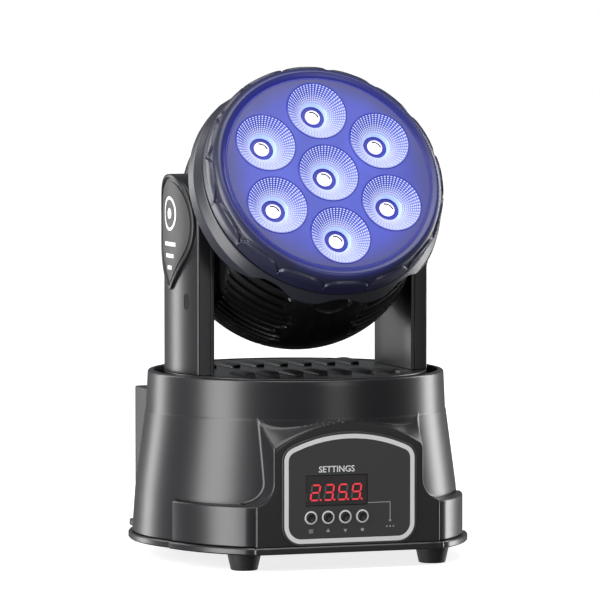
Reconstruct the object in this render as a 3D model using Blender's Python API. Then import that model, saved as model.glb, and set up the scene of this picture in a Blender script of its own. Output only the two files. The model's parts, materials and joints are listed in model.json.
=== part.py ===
"""Compact moving head wash light: a base, a panning yoke and a tilting head.

Units are metres, +Z is up and the front is -Y. The origin is the middle of the footprint, on the floor.
The head is modelled in its own frame: its origin is on the tilt axis and its +Z is the beam's direction.
"""

import math

import bmesh
import bpy

MM = 0.001
GAP = 0.3 * MM

# Base, heights from the floor.
FOOT_TOP = 8.4 * MM
PLATE_LOW = 8.7 * MM
PLATE_TOP = 12.2 * MM
SHELL_LOW = 12.5 * MM
WING_TOP = 32.8 * MM
CREASE_Z = 75.0 * MM
RIM_Z = 95.0 * MM
REAR_BLOCK_TOP = 82.0 * MM

# Base, plan sizes.
SKIRT_RADIUS = 84.0 * MM
WING_TOP_SHELL_RADIUS = 82.5 * MM
CREASE_RADIUS = 77.0 * MM
RIM_RADIUS = 76.0 * MM
OPENING_RADIUS = 73.0 * MM
WALL = 3.0 * MM
FACE_Y = 79.1 * MM
WING_RADIUS = 80.0 * MM
WING_CENTRE = 16.0 * MM
WING_START = math.radians(23.0)
REAR_HALF_WIDTH = 61.0 * MM
FLANGE_LIP = 2.5 * MM
FOOT_LOW_RADIUS = 7.2 * MM
FOOT_TOP_RADIUS = 8.7 * MM
FOOT_PLACES = [(-50.5, -64.0), (50.5, -64.0), (-50.5, 64.0), (50.5, 64.0)]

# Front control block and its panel.
BLOCK_HALF_WIDTH = 39.9 * MM
BLOCK_BACK_HALF_WIDTH = 42.5 * MM
BLOCK_SHOULDER_Z = 61.0 * MM
BLOCK_BACK_Y = -64.2 * MM
PANEL_HALF_WIDTH = 37.0 * MM
PANEL_LOW = 13.2 * MM
PANEL_SHOULDER_Z = 59.0 * MM
PANEL_APEX_Z = 70.8 * MM
PANEL_THICK = 0.6 * MM
DISPLAY_X = -6.9 * MM
DISPLAY_Z = 40.1 * MM
DISPLAY_SIZE = (32.5 * MM, 15.0 * MM)
BUTTON_Z = 26.6 * MM
BUTTON_PITCH = 9.15 * MM
BUTTON_RADIUS = 2.2 * MM
BUTTON_COUNT = 4

# Rear panel and its sockets.
REAR_WINDOW = (96.0 * MM, 53.0 * MM)
REAR_WINDOW_Z = 46.5 * MM
SOCKET_Z = 36.0 * MM
INLET_X = 28.0 * MM
DMX_INPUT_X = -8.0 * MM
DMX_OUTPUT_X = -35.0 * MM
INLET_BODY = (27.0 * MM, 20.0 * MM)
INLET_MOUTH = (24.0 * MM, 16.5 * MM)
DMX_BODY_RADIUS = 11.2 * MM
DMX_MOUTH_RADIUS = 9.3 * MM
DMX_INSERT_RADIUS = 7.6 * MM

# Pan drive, all on or beside the vertical axis.
CHASSIS_Z = (48.0 * MM, 50.0 * MM)
CHASSIS_RADIUS = 60.0 * MM
PAN_SHAFT_RADIUS = 12.0 * MM
PAN_SHAFT_BORE = 8.0 * MM
PAN_PULLEY_RADIUS = 30.0 * MM
PAN_MOTOR_PULLEY_RADIUS = 7.0 * MM
PAN_PULLEY_Z = (52.0 * MM, 58.2 * MM)
PAN_MOTOR_X = -46.0 * MM
PAN_MOTOR_SIDE = 35.0 * MM
BELT_THICK = 1.5 * MM
MOTOR_SHAFT_RADIUS = 2.5 * MM

# Yoke.
TURNTABLE_RADIUS = 67.2 * MM
TURNTABLE_LOW = 91.0 * MM
TURNTABLE_SKIRT_LOW = 78.0 * MM
ARM_INNER_X = 53.2 * MM
ARM_COVER_THICK = 2.0 * MM
ARM_OUTER_RADIUS = 67.3 * MM
ARM_HALF_DEPTH = 26.7 * MM
ARM_WALL = 2.0 * MM
CAP_RADIUS = 25.2 * MM
CAP_TIP_RADIUS = 4.5 * MM
CAP_TIP_DROP = 29.3 * MM
CAP_THICK = 1.2 * MM

# Tilt axis and drive.
TILT_Z = 169.5 * MM
REST_TILT = math.radians(30.0)
AXLE_RADIUS = 8.0 * MM
AXLE_BORE = 5.0 * MM
BEARING_RADIUS = 12.0 * MM
TILT_PULLEY_RADIUS = 16.0 * MM
TILT_MOTOR_PULLEY_RADIUS = 8.0 * MM
TILT_PULLEY_X = (57.6 * MM, 62.6 * MM)
TILT_MOTOR_Z = 74.0 * MM
TILT_MOTOR_SIDE = 28.0 * MM

# Head, along the beam from the tilt axis.
FACE_Z = 56.7 * MM
PLATE_RADIUS = 53.2 * MM
PLATE_THICK = 2.2 * MM
LENS_RADIUS = 15.6 * MM
LENS_RING = 35.3 * MM
LENS_WELL_RADIUS = 5.9 * MM
LENS_WELL_DEPTH = 6.5 * MM
LENS_ROUND = 16
LENS_COUNT = 7
DOME_RADIUS = 64.5 * MM
DOME_HALF_WIDTH = 50.0 * MM
DOME_FRONT = 40.0 * MM
DOME_WALL = 2.5 * MM
RING_REAR = 28.2 * MM
SOCKET_RADIUS = 58.6 * MM
HEAT_SINK_RADIUS = 47.0 * MM
FIN_COUNT = 13
FIN_PITCH = 7.0 * MM
FIN_THICK = 2.0 * MM
BOARD_THICK = 1.6 * MM

FAN_SIDE = 50.0 * MM
FAN_LOW = -0.5 * MM
FAN_HIGH = 11.5 * MM
FAN_BLADES = 7

SMOOTH_ANGLE = math.radians(35.0)
BIG_ROUND = 40
ROUND = 20
SMALL_ROUND = 12
ALONG_FRONT = (math.pi / 2, 0.0, 0.0)
ALONG_REAR = (math.pi / 2, 0.0, math.pi)
ALONG_RIGHT = (math.pi / 2, 0.0, math.pi / 2)
ALONG_LEFT = (math.pi / 2, 0.0, -math.pi / 2)


# ---------------------------------------------------------------- materials

def material(name, colour, roughness, metallic=0.0):
    """Principled material with one colour."""
    made = bpy.data.materials.new(name)
    made.use_nodes = True
    shader = made.node_tree.nodes["Principled BSDF"]
    shader.inputs["Base Color"].default_value = (*colour, 1.0)
    shader.inputs["Roughness"].default_value = roughness
    shader.inputs["Metallic"].default_value = metallic
    return made


def make_materials():
    """One material for each finish of the light."""
    return {
        "housing": material("housing_black_abs", (0.045, 0.045, 0.047), 0.38),
        "bezel": material("bezel_black_abs", (0.03, 0.03, 0.04), 0.3),
        "inner": material("inner_black_plastic", (0.02, 0.02, 0.02), 0.6),
        "panel": material("panel_grey_film", (0.06, 0.06, 0.06), 0.55),
        "display": material("display_red_led", (0.35, 0.02, 0.03), 0.2),
        "lens": material("lens_clear_acrylic", (0.8, 0.85, 1.0), 0.08),
        "rubber": material("foot_black_rubber", (0.015, 0.015, 0.015), 0.8),
        "steel": material("zinc_plated_steel", (0.55, 0.55, 0.56), 0.35, 1.0),
        "aluminium": material("extruded_aluminium", (0.7, 0.71, 0.72), 0.4, 1.0),
        "board": material("circuit_board", (0.02, 0.16, 0.06), 0.5),
        "belt": material("drive_belt_rubber", (0.02, 0.02, 0.02), 0.7),
        "socket": material("socket_black_nylon", (0.02, 0.02, 0.022), 0.45),
        "cap": material("cap_grey_film", (0.2, 0.2, 0.2), 0.5),
    }


# ------------------------------------------------------------ mesh builders

def arc(centre, radius, start, end, steps):
    """Points on an arc, from one angle to another, both ends included."""
    angles = [start + (end - start) * i / steps for i in range(steps + 1)]
    return [(centre[0] + radius * math.cos(a), centre[1] + radius * math.sin(a)) for a in angles]


def circle(radius, steps, centre=(0.0, 0.0)):
    """Points all the way round a circle."""
    return arc(centre, radius, 0.0, math.tau * (steps - 1) / steps, steps - 1)


def rounded_rectangle(size, radius, centre=(0.0, 0.0), steps=3):
    """Rectangle with four rounded corners, counter-clockwise."""
    points = []
    for quarter, (sx, sy) in enumerate([(1, 1), (-1, 1), (-1, -1), (1, -1)]):
        corner = (centre[0] + sx * (size[0] / 2 - radius), centre[1] + sy * (size[1] / 2 - radius))
        start = quarter * math.pi / 2
        points += arc(corner, radius, start, start + math.pi / 2, steps)
    return points


def turned(profile, segments=ROUND):
    """Closed outline of (radius, height) points swept once round Z; a point on the axis is a pole."""
    bm = bmesh.new()
    rings = []
    for radius, height in profile:
        if radius == 0:
            rings.append([bm.verts.new((0.0, 0.0, height))])
        else:
            rings.append([bm.verts.new((x, y, height)) for x, y in circle(radius, segments)])
    for ring, following in zip(rings, rings[1:] + rings[:1]):
        if len(ring) == len(following) == 1:
            continue
        for i in range(segments):
            j = (i + 1) % segments
            corners = [ring[i % len(ring)], ring[j % len(ring)]]
            corners += [following[j % len(following)], following[i % len(following)]]
            bm.faces.new(list(dict.fromkeys(corners)))
    return bm


def lofted(low_outline, low, high_outline, high, bm=None):
    """Solid between two outlines with as many points, at two heights."""
    bm = bm or bmesh.new()
    floor = [bm.verts.new((x, y, low)) for x, y in low_outline]
    roof = [bm.verts.new((x, y, high)) for x, y in high_outline]
    bm.faces.new(floor[::-1])
    bm.faces.new(roof)
    for i, corner in enumerate(floor):
        j = (i + 1) % len(floor)
        bm.faces.new([corner, floor[j], roof[j], roof[i]])
    return bm


def extruded(outline, low, high, bm=None):
    """Prism of an outline between two heights."""
    return lofted(outline, low, outline, high, bm)


def boxes(*corner_pairs):
    """One mesh of separate boxes, each given by its lowest and highest corner."""
    bm = bmesh.new()
    for (x0, y0, z0), (x1, y1, z1) in corner_pairs:
        extruded([(x0, y0), (x1, y0), (x1, y1), (x0, y1)], z0, z1, bm)
    return bm


def to_mesh(name, bm):
    """Mesh with its faces pointing outwards."""
    bmesh.ops.recalc_face_normals(bm, faces=bm.faces)
    mesh = bpy.data.meshes.new(name)
    bm.to_mesh(mesh)
    bm.free()
    return mesh


def part(name, bm, finish, parent=None, location=(0, 0, 0), rotation=(0, 0, 0)):
    """Named object with its material, placed under its parent."""
    mesh = to_mesh(name, bm)
    mesh.materials.append(finish)
    mesh.shade_smooth()
    mesh.set_sharp_from_angle(angle=SMOOTH_ANGLE)
    made = bpy.data.objects.new(name, mesh)
    bpy.context.scene.collection.objects.link(made)
    made.parent = parent
    made.location = location
    made.rotation_euler = rotation
    return made


def combine(target, bm, operation, location=(0, 0, 0), rotation=(0, 0, 0)):
    """Cut, join or trim a part with a hidden helper that is placed in the part's own frame."""
    name = f"{target.name}_{operation.lower()}_{len(target.modifiers)}"
    helper = bpy.data.objects.new(name, to_mesh(name, bm))
    bpy.context.scene.collection.objects.link(helper)
    helper.parent = target
    helper.location = location
    helper.rotation_euler = rotation
    helper.hide_render = True
    helper.display_type = "WIRE"
    modifier = target.modifiers.new(name, "BOOLEAN")
    modifier.operation = operation
    modifier.solver = "EXACT"
    modifier.object = helper
    return target


def empty(name, location, rotation=(0, 0, 0), parent=None):
    """Axis or frame that parts are parented to."""
    made = bpy.data.objects.new(name, None)
    bpy.context.scene.collection.objects.link(made)
    made.parent = parent
    made.location = location
    made.rotation_euler = rotation
    return made


def belt_outline(big, small, distance, thick, steps=24):
    """Loop round two pulleys, as one closed wall: the outer line out, then the inner line back."""
    lean = math.acos((big - small) / distance)
    lines = []
    for grow in (thick, 0.0):
        far = arc((distance, 0.0), small + grow, -lean, lean, steps // 2)
        near = arc((0.0, 0.0), big + grow, lean, math.tau - lean, steps)
        lines.append(far + near)
    return lines


def belt(big, small, distance, thick, low, high):
    """Closed flat belt: the outer loop and the inner loop, joined by a wall at both edges."""
    outer, inner = belt_outline(big, small, distance, thick)
    bm = bmesh.new()
    loops = []
    for outline, height in ((outer, low), (outer, high), (inner, high), (inner, low)):
        loops.append([bm.verts.new((x, y, height)) for x, y in outline])
    for loop, following in zip(loops, loops[1:] + loops[:1]):
        for i, corner in enumerate(loop):
            j = (i + 1) % len(loop)
            bm.faces.new([corner, loop[j], following[j], following[i]])
    return bm


def pulley_profile(radius, bore, low, high):
    """Flanged belt pulley."""
    flange = 0.8 * MM
    lip = 1.5 * MM
    return [
        (bore, low), (radius + lip, low), (radius + lip, low + flange), (radius, low + flange + 0.2 * MM),
        (radius, high - flange - 0.2 * MM), (radius + lip, high - flange), (radius + lip, high), (bore, high),
    ]


# --------------------------------------------------------------------- base

def plan_outline(grow, steps=96):
    """Footprint: a round skirt with two front wings and a square rear block, cut flat front and back."""
    points = []
    for i in range(steps):
        angle = math.tau * (i + 0.5) / steps
        side = abs(math.cos(angle))
        ahead = abs(math.sin(angle))
        radius = SKIRT_RADIUS + grow
        if math.sin(angle) > 0:
            radius = max(radius, (REAR_HALF_WIDTH + grow) / side)
        elif ahead > math.sin(WING_START):
            reach = math.sqrt((WING_RADIUS + grow) ** 2 - (WING_CENTRE * side) ** 2)
            radius = max(radius, WING_CENTRE * ahead + reach)
        radius = min(radius, (FACE_Y + grow) / ahead)
        points.append((radius * math.cos(angle), radius * math.sin(angle)))
    return points


def front_outline(grow, steps=96):
    """The front half of the footprint, closed straight across behind the wings."""
    back = -SKIRT_RADIUS * math.sin(WING_START)
    return [(x, y) for x, y in plan_outline(grow, steps) if y < back]


def block_outline(half_width, shoulder, apex, low, steps=12):
    """Straight-sided outline with an arched top."""
    rise = apex - shoulder
    if rise < 0.01 * MM:
        top = [(half_width - 2 * half_width * i / steps, shoulder) for i in range(steps + 1)]
        return [(-half_width, low), (half_width, low)] + top
    radius = (half_width ** 2 + rise ** 2) / (2 * rise)
    half_angle = math.asin(half_width / radius)
    start = math.pi / 2 - half_angle
    top = arc((0.0, apex - radius), radius, start, start + 2 * half_angle, steps)
    return [(-half_width, low), (half_width, low)] + top


def base_shell(finish):
    """Moulded cover: turned body, front wings, front control block and rear socket block."""
    rim_round = 1.2 * MM
    shell = part("base_shell", turned([
        (0, SHELL_LOW), (SKIRT_RADIUS, SHELL_LOW), (WING_TOP_SHELL_RADIUS, WING_TOP),
        (CREASE_RADIUS, CREASE_Z), (RIM_RADIUS, RIM_Z - rim_round),
        (RIM_RADIUS - rim_round, RIM_Z), (0, RIM_Z),
    ], BIG_ROUND), finish)
    far = 100 * MM
    combine(shell, extruded(front_outline(0.0), SHELL_LOW, WING_TOP), "UNION")
    front = block_outline(BLOCK_HALF_WIDTH, BLOCK_SHOULDER_Z, CREASE_Z - 0.4 * MM, SHELL_LOW)
    back = block_outline(BLOCK_BACK_HALF_WIDTH, CREASE_Z - 0.2 * MM, CREASE_Z - 0.2 * MM, SHELL_LOW)
    combine(shell, lofted(back, -BLOCK_BACK_Y, front, FACE_Y), "UNION", rotation=ALONG_FRONT)
    rear = rounded_rectangle((2 * REAR_HALF_WIDTH, 2 * FACE_Y), 4 * MM)
    rear = [(x, y) for x, y in rear if y > 0]
    rear = [(REAR_HALF_WIDTH, 20 * MM)] + rear + [(-REAR_HALF_WIDTH, 20 * MM)]
    combine(shell, extruded(rear, SHELL_LOW, REAR_BLOCK_TOP), "UNION")
    combine(shell, boxes(((-far, -FACE_Y, 0), (far, FACE_Y, far))), "INTERSECT")
    cavity = turned([
        (0, SHELL_LOW - 2 * MM), (SKIRT_RADIUS - WALL, SHELL_LOW - 2 * MM),
        (WING_TOP_SHELL_RADIUS - WALL, WING_TOP), (CREASE_RADIUS - WALL, CREASE_Z),
        (OPENING_RADIUS, CREASE_Z + 3 * MM), (OPENING_RADIUS, RIM_Z + 2 * MM), (0, RIM_Z + 2 * MM),
    ], BIG_ROUND)
    slab = to_mesh("cavity_slab", boxes(((-far, WALL - FACE_Y, 0), (far, FACE_Y - WALL, far))))
    combine(shell, cavity, "DIFFERENCE")
    trim_cavity(shell, slab)
    combine(shell, extruded(front_outline(-WALL), SHELL_LOW - 2 * MM, WING_TOP - WALL), "DIFFERENCE")
    inner = [(x * (1 - WALL / REAR_HALF_WIDTH), y - (WALL if y > 30 * MM else 0)) for x, y in rear]
    combine(shell, extruded(inner, SHELL_LOW - 2 * MM, REAR_BLOCK_TOP - WALL), "DIFFERENCE")
    block_room = boxes(
        ((WALL - BLOCK_HALF_WIDTH, WALL - FACE_Y, SHELL_LOW - 3 * MM),
         (BLOCK_HALF_WIDTH - WALL, -40 * MM, BLOCK_SHOULDER_Z - WALL)))
    combine(shell, block_room, "DIFFERENCE")
    cut_panel_holes(shell, FACE_Y - 2 * WALL, FACE_Y + 2 * MM)
    window = rounded_rectangle(REAR_WINDOW, 3 * MM, (0.0, REAR_WINDOW_Z))
    combine(shell, extruded(window, FACE_Y - 2 * WALL, FACE_Y + 2 * MM), "DIFFERENCE", rotation=ALONG_REAR)
    return shell


def trim_cavity(shell, slab):
    """Keep the round cavity from breaking through the flat front and back faces."""
    helper = shell.modifiers[-1].object
    limit = bpy.data.objects.new("base_cavity_limit", slab)
    bpy.context.scene.collection.objects.link(limit)
    limit.hide_render = True
    limit.display_type = "WIRE"
    modifier = helper.modifiers.new("limit", "BOOLEAN")
    modifier.operation = "INTERSECT"
    modifier.solver = "EXACT"
    modifier.object = limit


def button_places():
    """Middle of each push button as its X and Z, from left to right."""
    first = DISPLAY_X - BUTTON_PITCH * (BUTTON_COUNT - 1) / 2
    return [(first + BUTTON_PITCH * i, BUTTON_Z) for i in range(BUTTON_COUNT)]


def cut_panel_holes(target, low, high):
    """Display window and button holes through the front, in a frame whose +Z points forwards."""
    size = (DISPLAY_SIZE[0] + 2 * GAP, DISPLAY_SIZE[1] + 2 * GAP)
    holes = extruded(rounded_rectangle(size, 0.5 * MM, (DISPLAY_X, DISPLAY_Z), 1), low, high)
    for place in button_places():
        extruded(circle(BUTTON_RADIUS + GAP, SMALL_ROUND, place), low, high, holes)
    turn = (0, 0, 0) if target.rotation_euler.x else ALONG_FRONT
    combine(target, holes, "DIFFERENCE", rotation=turn)


def make_base(finishes):
    """Cover, tray, feet, control panel, sockets, frame, boards and the pan drive's fixed pieces."""
    part("bottom_plate", extruded(plan_outline(FLANGE_LIP), PLATE_LOW, PLATE_TOP), finishes["housing"])
    base_shell(finishes["housing"])
    for i, (x, y) in enumerate(FOOT_PLACES, 1):
        foot = [(0, 0), (FOOT_LOW_RADIUS - 0.6 * MM, 0), (FOOT_LOW_RADIUS, 0.8 * MM),
                (FOOT_TOP_RADIUS, FOOT_TOP), (0, FOOT_TOP)]
        part(f"foot_{i}", turned(foot, SMALL_ROUND), finishes["rubber"], location=(x * MM, y * MM, 0))
    make_front_panel(finishes)
    make_rear_panel(finishes)
    make_chassis(finishes)
    make_boards(finishes)


def make_front_panel(finishes):
    """Printed panel film, four-digit display, its board and four sprung push buttons."""
    front = FACE_Y + GAP
    outline = block_outline(PANEL_HALF_WIDTH, PANEL_SHOULDER_Z, PANEL_APEX_Z, PANEL_LOW)
    panel = part("control_panel", extruded(outline, front, front + PANEL_THICK), finishes["panel"],
                 rotation=ALONG_FRONT)
    cut_panel_holes(panel, front - MM, front + 2 * MM)
    window = rounded_rectangle(DISPLAY_SIZE, 0.4 * MM, (DISPLAY_X, DISPLAY_Z), 1)
    part("display_module", extruded(window, FACE_Y - 7.6 * MM, front + 0.4 * MM), finishes["display"],
         rotation=ALONG_FRONT)
    board = rounded_rectangle((62 * MM, 38 * MM), 1.5 * MM, (-1.5 * MM, 37 * MM))
    part("display_board", extruded(board, FACE_Y - 9.8 * MM, FACE_Y - 8.2 * MM), finishes["board"],
         rotation=ALONG_FRONT)
    tip = FACE_Y + 1.9 * MM
    collar = FACE_Y - WALL - GAP
    for i, (x, z) in enumerate(button_places(), 1):
        profile = [
            (0, collar - 3.2 * MM), (1.6 * MM, collar - 3.2 * MM), (1.6 * MM, collar - MM),
            (BUTTON_RADIUS + MM, collar - MM), (BUTTON_RADIUS + MM, collar), (BUTTON_RADIUS, collar),
            (BUTTON_RADIUS, tip - 0.5 * MM), (BUTTON_RADIUS - 0.5 * MM, tip), (0, tip),
        ]
        part(f"button_{i}", turned(profile, SMALL_ROUND), finishes["inner"], location=(x, 0, z),
             rotation=ALONG_FRONT)


def make_rear_panel(finishes):
    """Steel plate behind the rear window, with a mains inlet and two round signal sockets."""
    seat = FACE_Y - WALL - GAP
    size = (REAR_WINDOW[0] + 8 * MM, REAR_WINDOW[1] + 5 * MM)
    outline = rounded_rectangle(size, 2 * MM, (0.0, REAR_WINDOW_Z))
    plate = part("rear_panel", extruded(outline, seat - 1.5 * MM, seat), finishes["steel"],
                 rotation=ALONG_REAR)
    inlet_size = (INLET_BODY[0] + 2 * GAP, INLET_BODY[1] + 2 * GAP)
    inlet_hole = rounded_rectangle(inlet_size, 2 * MM, (INLET_X, SOCKET_Z))
    holes = extruded(inlet_hole, seat - 4 * MM, seat + MM)
    for x in (DMX_INPUT_X, DMX_OUTPUT_X):
        extruded(circle(DMX_BODY_RADIUS + GAP, ROUND, (x, SOCKET_Z)), seat - 4 * MM, seat + MM, holes)
    combine(plate, holes, "DIFFERENCE")

    lip = seat + GAP
    face = FACE_Y - 0.8 * MM
    inlet = part("power_inlet", extruded(rounded_rectangle(INLET_BODY, 2 * MM), seat - 18 * MM, face),
                 finishes["socket"], location=(-INLET_X, 0, SOCKET_Z), rotation=ALONG_REAR)
    combine(inlet, extruded(rounded_rectangle((31 * MM, 24 * MM), 2 * MM), lip, face - 0.2 * MM), "UNION")
    mouth_w, mouth_h = INLET_MOUTH
    chamfer = 4 * MM
    mouth = [
        (-mouth_w / 2, -mouth_h / 2), (mouth_w / 2, -mouth_h / 2), (mouth_w / 2, mouth_h / 2 - chamfer),
        (mouth_w / 2 - chamfer, mouth_h / 2), (chamfer - mouth_w / 2, mouth_h / 2),
        (-mouth_w / 2, mouth_h / 2 - chamfer),
    ]
    combine(inlet, extruded(mouth, face - 15 * MM, face + MM), "DIFFERENCE")

    sockets = (("dmx_input_socket", DMX_INPUT_X, 0), ("dmx_output_socket", DMX_OUTPUT_X, DMX_INSERT_RADIUS))
    for name, x, insert_radius in sockets:
        socket = part(name, turned([
            (0, seat - 20 * MM), (DMX_BODY_RADIUS, seat - 20 * MM), (DMX_BODY_RADIUS, face), (0, face),
        ]), finishes["socket"], location=(-x, 0, SOCKET_Z), rotation=ALONG_REAR)
        flange = rounded_rectangle((25.5 * MM, 29 * MM), 3 * MM)
        combine(socket, extruded(flange, lip, face - 0.2 * MM), "UNION")
        depth = face - 14 * MM
        hollow = [(DMX_MOUTH_RADIUS, depth), (DMX_MOUTH_RADIUS, face + MM)]
        if insert_radius:
            hollow = [(insert_radius, depth)] + hollow + [(insert_radius, face + MM)]
        else:
            hollow = [(0, depth)] + hollow + [(0, face + MM)]
        combine(socket, turned(hollow), "DIFFERENCE")


def make_chassis(finishes):
    """Steel frame that carries the pan bearing and the pan motor, and the belt between them."""
    low, high = CHASSIS_Z
    frame = part("chassis_frame", extruded(circle(CHASSIS_RADIUS, BIG_ROUND), low, high), finishes["steel"])
    leg = 4 * MM
    feet = [((x - leg, y - leg, SHELL_LOW), (x + leg, y + leg, low + 1 * MM))
            for x in (-42 * MM, 42 * MM) for y in (-40 * MM, 40 * MM)]
    combine(frame, boxes(*feet), "UNION")
    holes = extruded(circle(17.3 * MM, ROUND), low - MM, high + MM)
    extruded(circle(11.3 * MM, SMALL_ROUND, (PAN_MOTOR_X, 0)), low - MM, high + MM, holes)
    combine(frame, holes, "DIFFERENCE")

    bore = PAN_SHAFT_RADIUS + GAP
    part("pan_bearing", turned([
        (bore, 42 * MM), (17 * MM, 42 * MM), (17 * MM, high + GAP), (20 * MM, high + GAP),
        (20 * MM, high + 1.7 * MM), (bore, high + 1.7 * MM),
    ]), finishes["steel"])

    half = PAN_MOTOR_SIDE / 2
    motor = part("pan_motor", extruded(rounded_rectangle((2 * half, 2 * half), 4 * MM), 15 * MM, low - GAP),
                 finishes["steel"], location=(PAN_MOTOR_X, 0, 0))
    combine(motor, turned([
        (0, low - 2 * MM), (11 * MM, low - 2 * MM), (11 * MM, high - 0.2 * MM),
        (MOTOR_SHAFT_RADIUS, high - 0.2 * MM), (MOTOR_SHAFT_RADIUS, PAN_PULLEY_Z[1]), (0, PAN_PULLEY_Z[1]),
    ], SMALL_ROUND), "UNION")
    loop = belt(PAN_PULLEY_RADIUS + GAP, PAN_MOTOR_PULLEY_RADIUS + GAP, -PAN_MOTOR_X, BELT_THICK,
                PAN_PULLEY_Z[0] + 1.2 * MM, PAN_PULLEY_Z[1] - 1.2 * MM)
    part("pan_belt", loop, finishes["belt"], rotation=(0, 0, math.pi))
    bore = MOTOR_SHAFT_RADIUS + GAP
    part("pan_motor_pulley", turned(pulley_profile(PAN_MOTOR_PULLEY_RADIUS, bore, *PAN_PULLEY_Z), SMALL_ROUND),
         finishes["aluminium"], location=(PAN_MOTOR_X, 0, 0))


def make_boards(finishes):
    """Power supply board with its tall parts, and the control board."""
    low = 18 * MM
    top = low + BOARD_THICK
    supply = part("power_supply_board", boxes(((24 * MM, -30 * MM, low), (66 * MM, 30 * MM, top))),
                  finishes["board"])
    combine(supply, boxes(
        ((30 * MM, -24 * MM, top - MM), (52 * MM, -4 * MM, 40 * MM)),
        ((30 * MM, 2 * MM, top - MM), (44 * MM, 16 * MM, 38 * MM)),
        ((48 * MM, 6 * MM, top - MM), (58 * MM, 26 * MM, 32 * MM)),
    ), "UNION")
    control = part("control_board", boxes(((-22 * MM, -44 * MM, low), (20 * MM, 30 * MM, top))),
                   finishes["board"])
    combine(control, boxes(
        ((-12 * MM, -30 * MM, top - MM), (2 * MM, -16 * MM, 22 * MM)),
        ((-18 * MM, 8 * MM, top - MM), (-6 * MM, 24 * MM, 28 * MM)),
        ((4 * MM, 8 * MM, top - MM), (16 * MM, 24 * MM, 28 * MM)),
    ), "UNION")


# --------------------------------------------------------------------- yoke

def arm_outline(grow):
    """Side view of an arm: straight sides and a round top about the tilt axis; x is depth, y is height."""
    half = ARM_HALF_DEPTH + grow
    low = RIM_Z + GAP if grow == 0 else RIM_Z - 5 * MM
    return [(-half, low), (half, low)] + arc((0.0, TILT_Z), half, 0.0, math.pi, 20)


def make_arm(side, rotation, finishes, yoke):
    """Hollow outer moulding, flat inner cover and curved teardrop cap; side is left or right."""
    far = 90 * MM
    split = ARM_INNER_X + ARM_COVER_THICK + GAP
    shell = part(f"{side}_arm_shell", extruded(arm_outline(0.0), split, far), finishes["housing"], yoke,
                 rotation=rotation)
    upright = (-math.pi / 2, 0.0, 0.0)
    tall = 230 * MM
    combine(shell, extruded(circle(ARM_OUTER_RADIUS, 2 * BIG_ROUND), 0, tall), "INTERSECT", rotation=upright)
    hollow = extruded(arm_outline(-ARM_WALL), split - MM, far)
    combine(shell, hollow, "DIFFERENCE")
    pocket = shell.modifiers[-1].object
    combine(pocket, extruded(circle(ARM_OUTER_RADIUS - ARM_WALL, 2 * BIG_ROUND), 0, tall), "INTERSECT",
            rotation=upright)
    cover = part(f"{side}_arm_cover", extruded(arm_outline(0.0), ARM_INNER_X, ARM_INNER_X + ARM_COVER_THICK),
                 finishes["housing"], yoke, rotation=rotation)
    hole = circle(BEARING_RADIUS + GAP, ROUND, (0.0, TILT_Z))
    combine(cover, extruded(hole, ARM_INNER_X - MM, split), "DIFFERENCE")

    lean = math.acos((CAP_RADIUS - CAP_TIP_RADIUS) / CAP_TIP_DROP)
    middle = TILT_Z + ARM_HALF_DEPTH - CAP_RADIUS
    tip = (0.0, middle - CAP_TIP_DROP)
    down = -math.pi / 2
    outline = arc((0.0, middle), CAP_RADIUS, down + lean, down + math.tau - lean, 28)
    outline += arc(tip, CAP_TIP_RADIUS, down - lean, down + lean, 6)
    cap = part(f"{side}_arm_cap", extruded(outline, 50 * MM, far), finishes["cap"], yoke, rotation=rotation)
    inside = ARM_OUTER_RADIUS + GAP
    outside = inside + CAP_THICK
    skin = turned([(inside, 0), (outside, 0), (outside, tall), (inside, tall)], 2 * BIG_ROUND)
    combine(cap, skin, "INTERSECT", rotation=upright)

    bore = AXLE_RADIUS + GAP
    low = ARM_INNER_X + 0.1 * MM
    outwards = (0, math.copysign(math.pi / 2, rotation[2]), 0)
    part(f"{side}_tilt_bearing", turned([
        (bore, low), (BEARING_RADIUS, low), (BEARING_RADIUS, split), (BEARING_RADIUS + 1.5 * MM, split),
        (BEARING_RADIUS + 1.5 * MM, split + 1.6 * MM), (bore, split + 1.6 * MM),
    ]), finishes["steel"], yoke, location=(0, 0, TILT_Z), rotation=outwards)


def make_turntable(finishes, yoke):
    """Vented disc that closes the base, with a skirt below it and two rows of slots."""
    skirt_inner = TURNTABLE_RADIUS - 2.5 * MM
    disc = part("turntable", turned([
        (0, TURNTABLE_LOW), (skirt_inner, TURNTABLE_LOW), (skirt_inner, TURNTABLE_SKIRT_LOW),
        (TURNTABLE_RADIUS, TURNTABLE_SKIRT_LOW), (TURNTABLE_RADIUS, RIM_Z), (0, RIM_Z),
    ], BIG_ROUND), finishes["housing"], yoke)
    low = TURNTABLE_LOW - 2 * MM
    high = RIM_Z + 2 * MM
    slots = []
    for i in range(-3, 4):
        for side in (-1, 1):
            x = i * 13 * MM
            near, far = sorted((side * 16 * MM, side * 44 * MM))
            slots.append(((x - 2 * MM, near, low), (x + 2 * MM, far, high)))
    slots.append(((-64 * MM, -13 * MM, low), (-56 * MM, 13 * MM, high)))
    holes = boxes(*slots)
    extruded(circle(4 * MM, SMALL_ROUND, (60 * MM, 0)), low, high, holes)
    extruded(circle(PAN_SHAFT_BORE, SMALL_ROUND), low, high, holes)
    combine(disc, holes, "DIFFERENCE")


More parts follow.
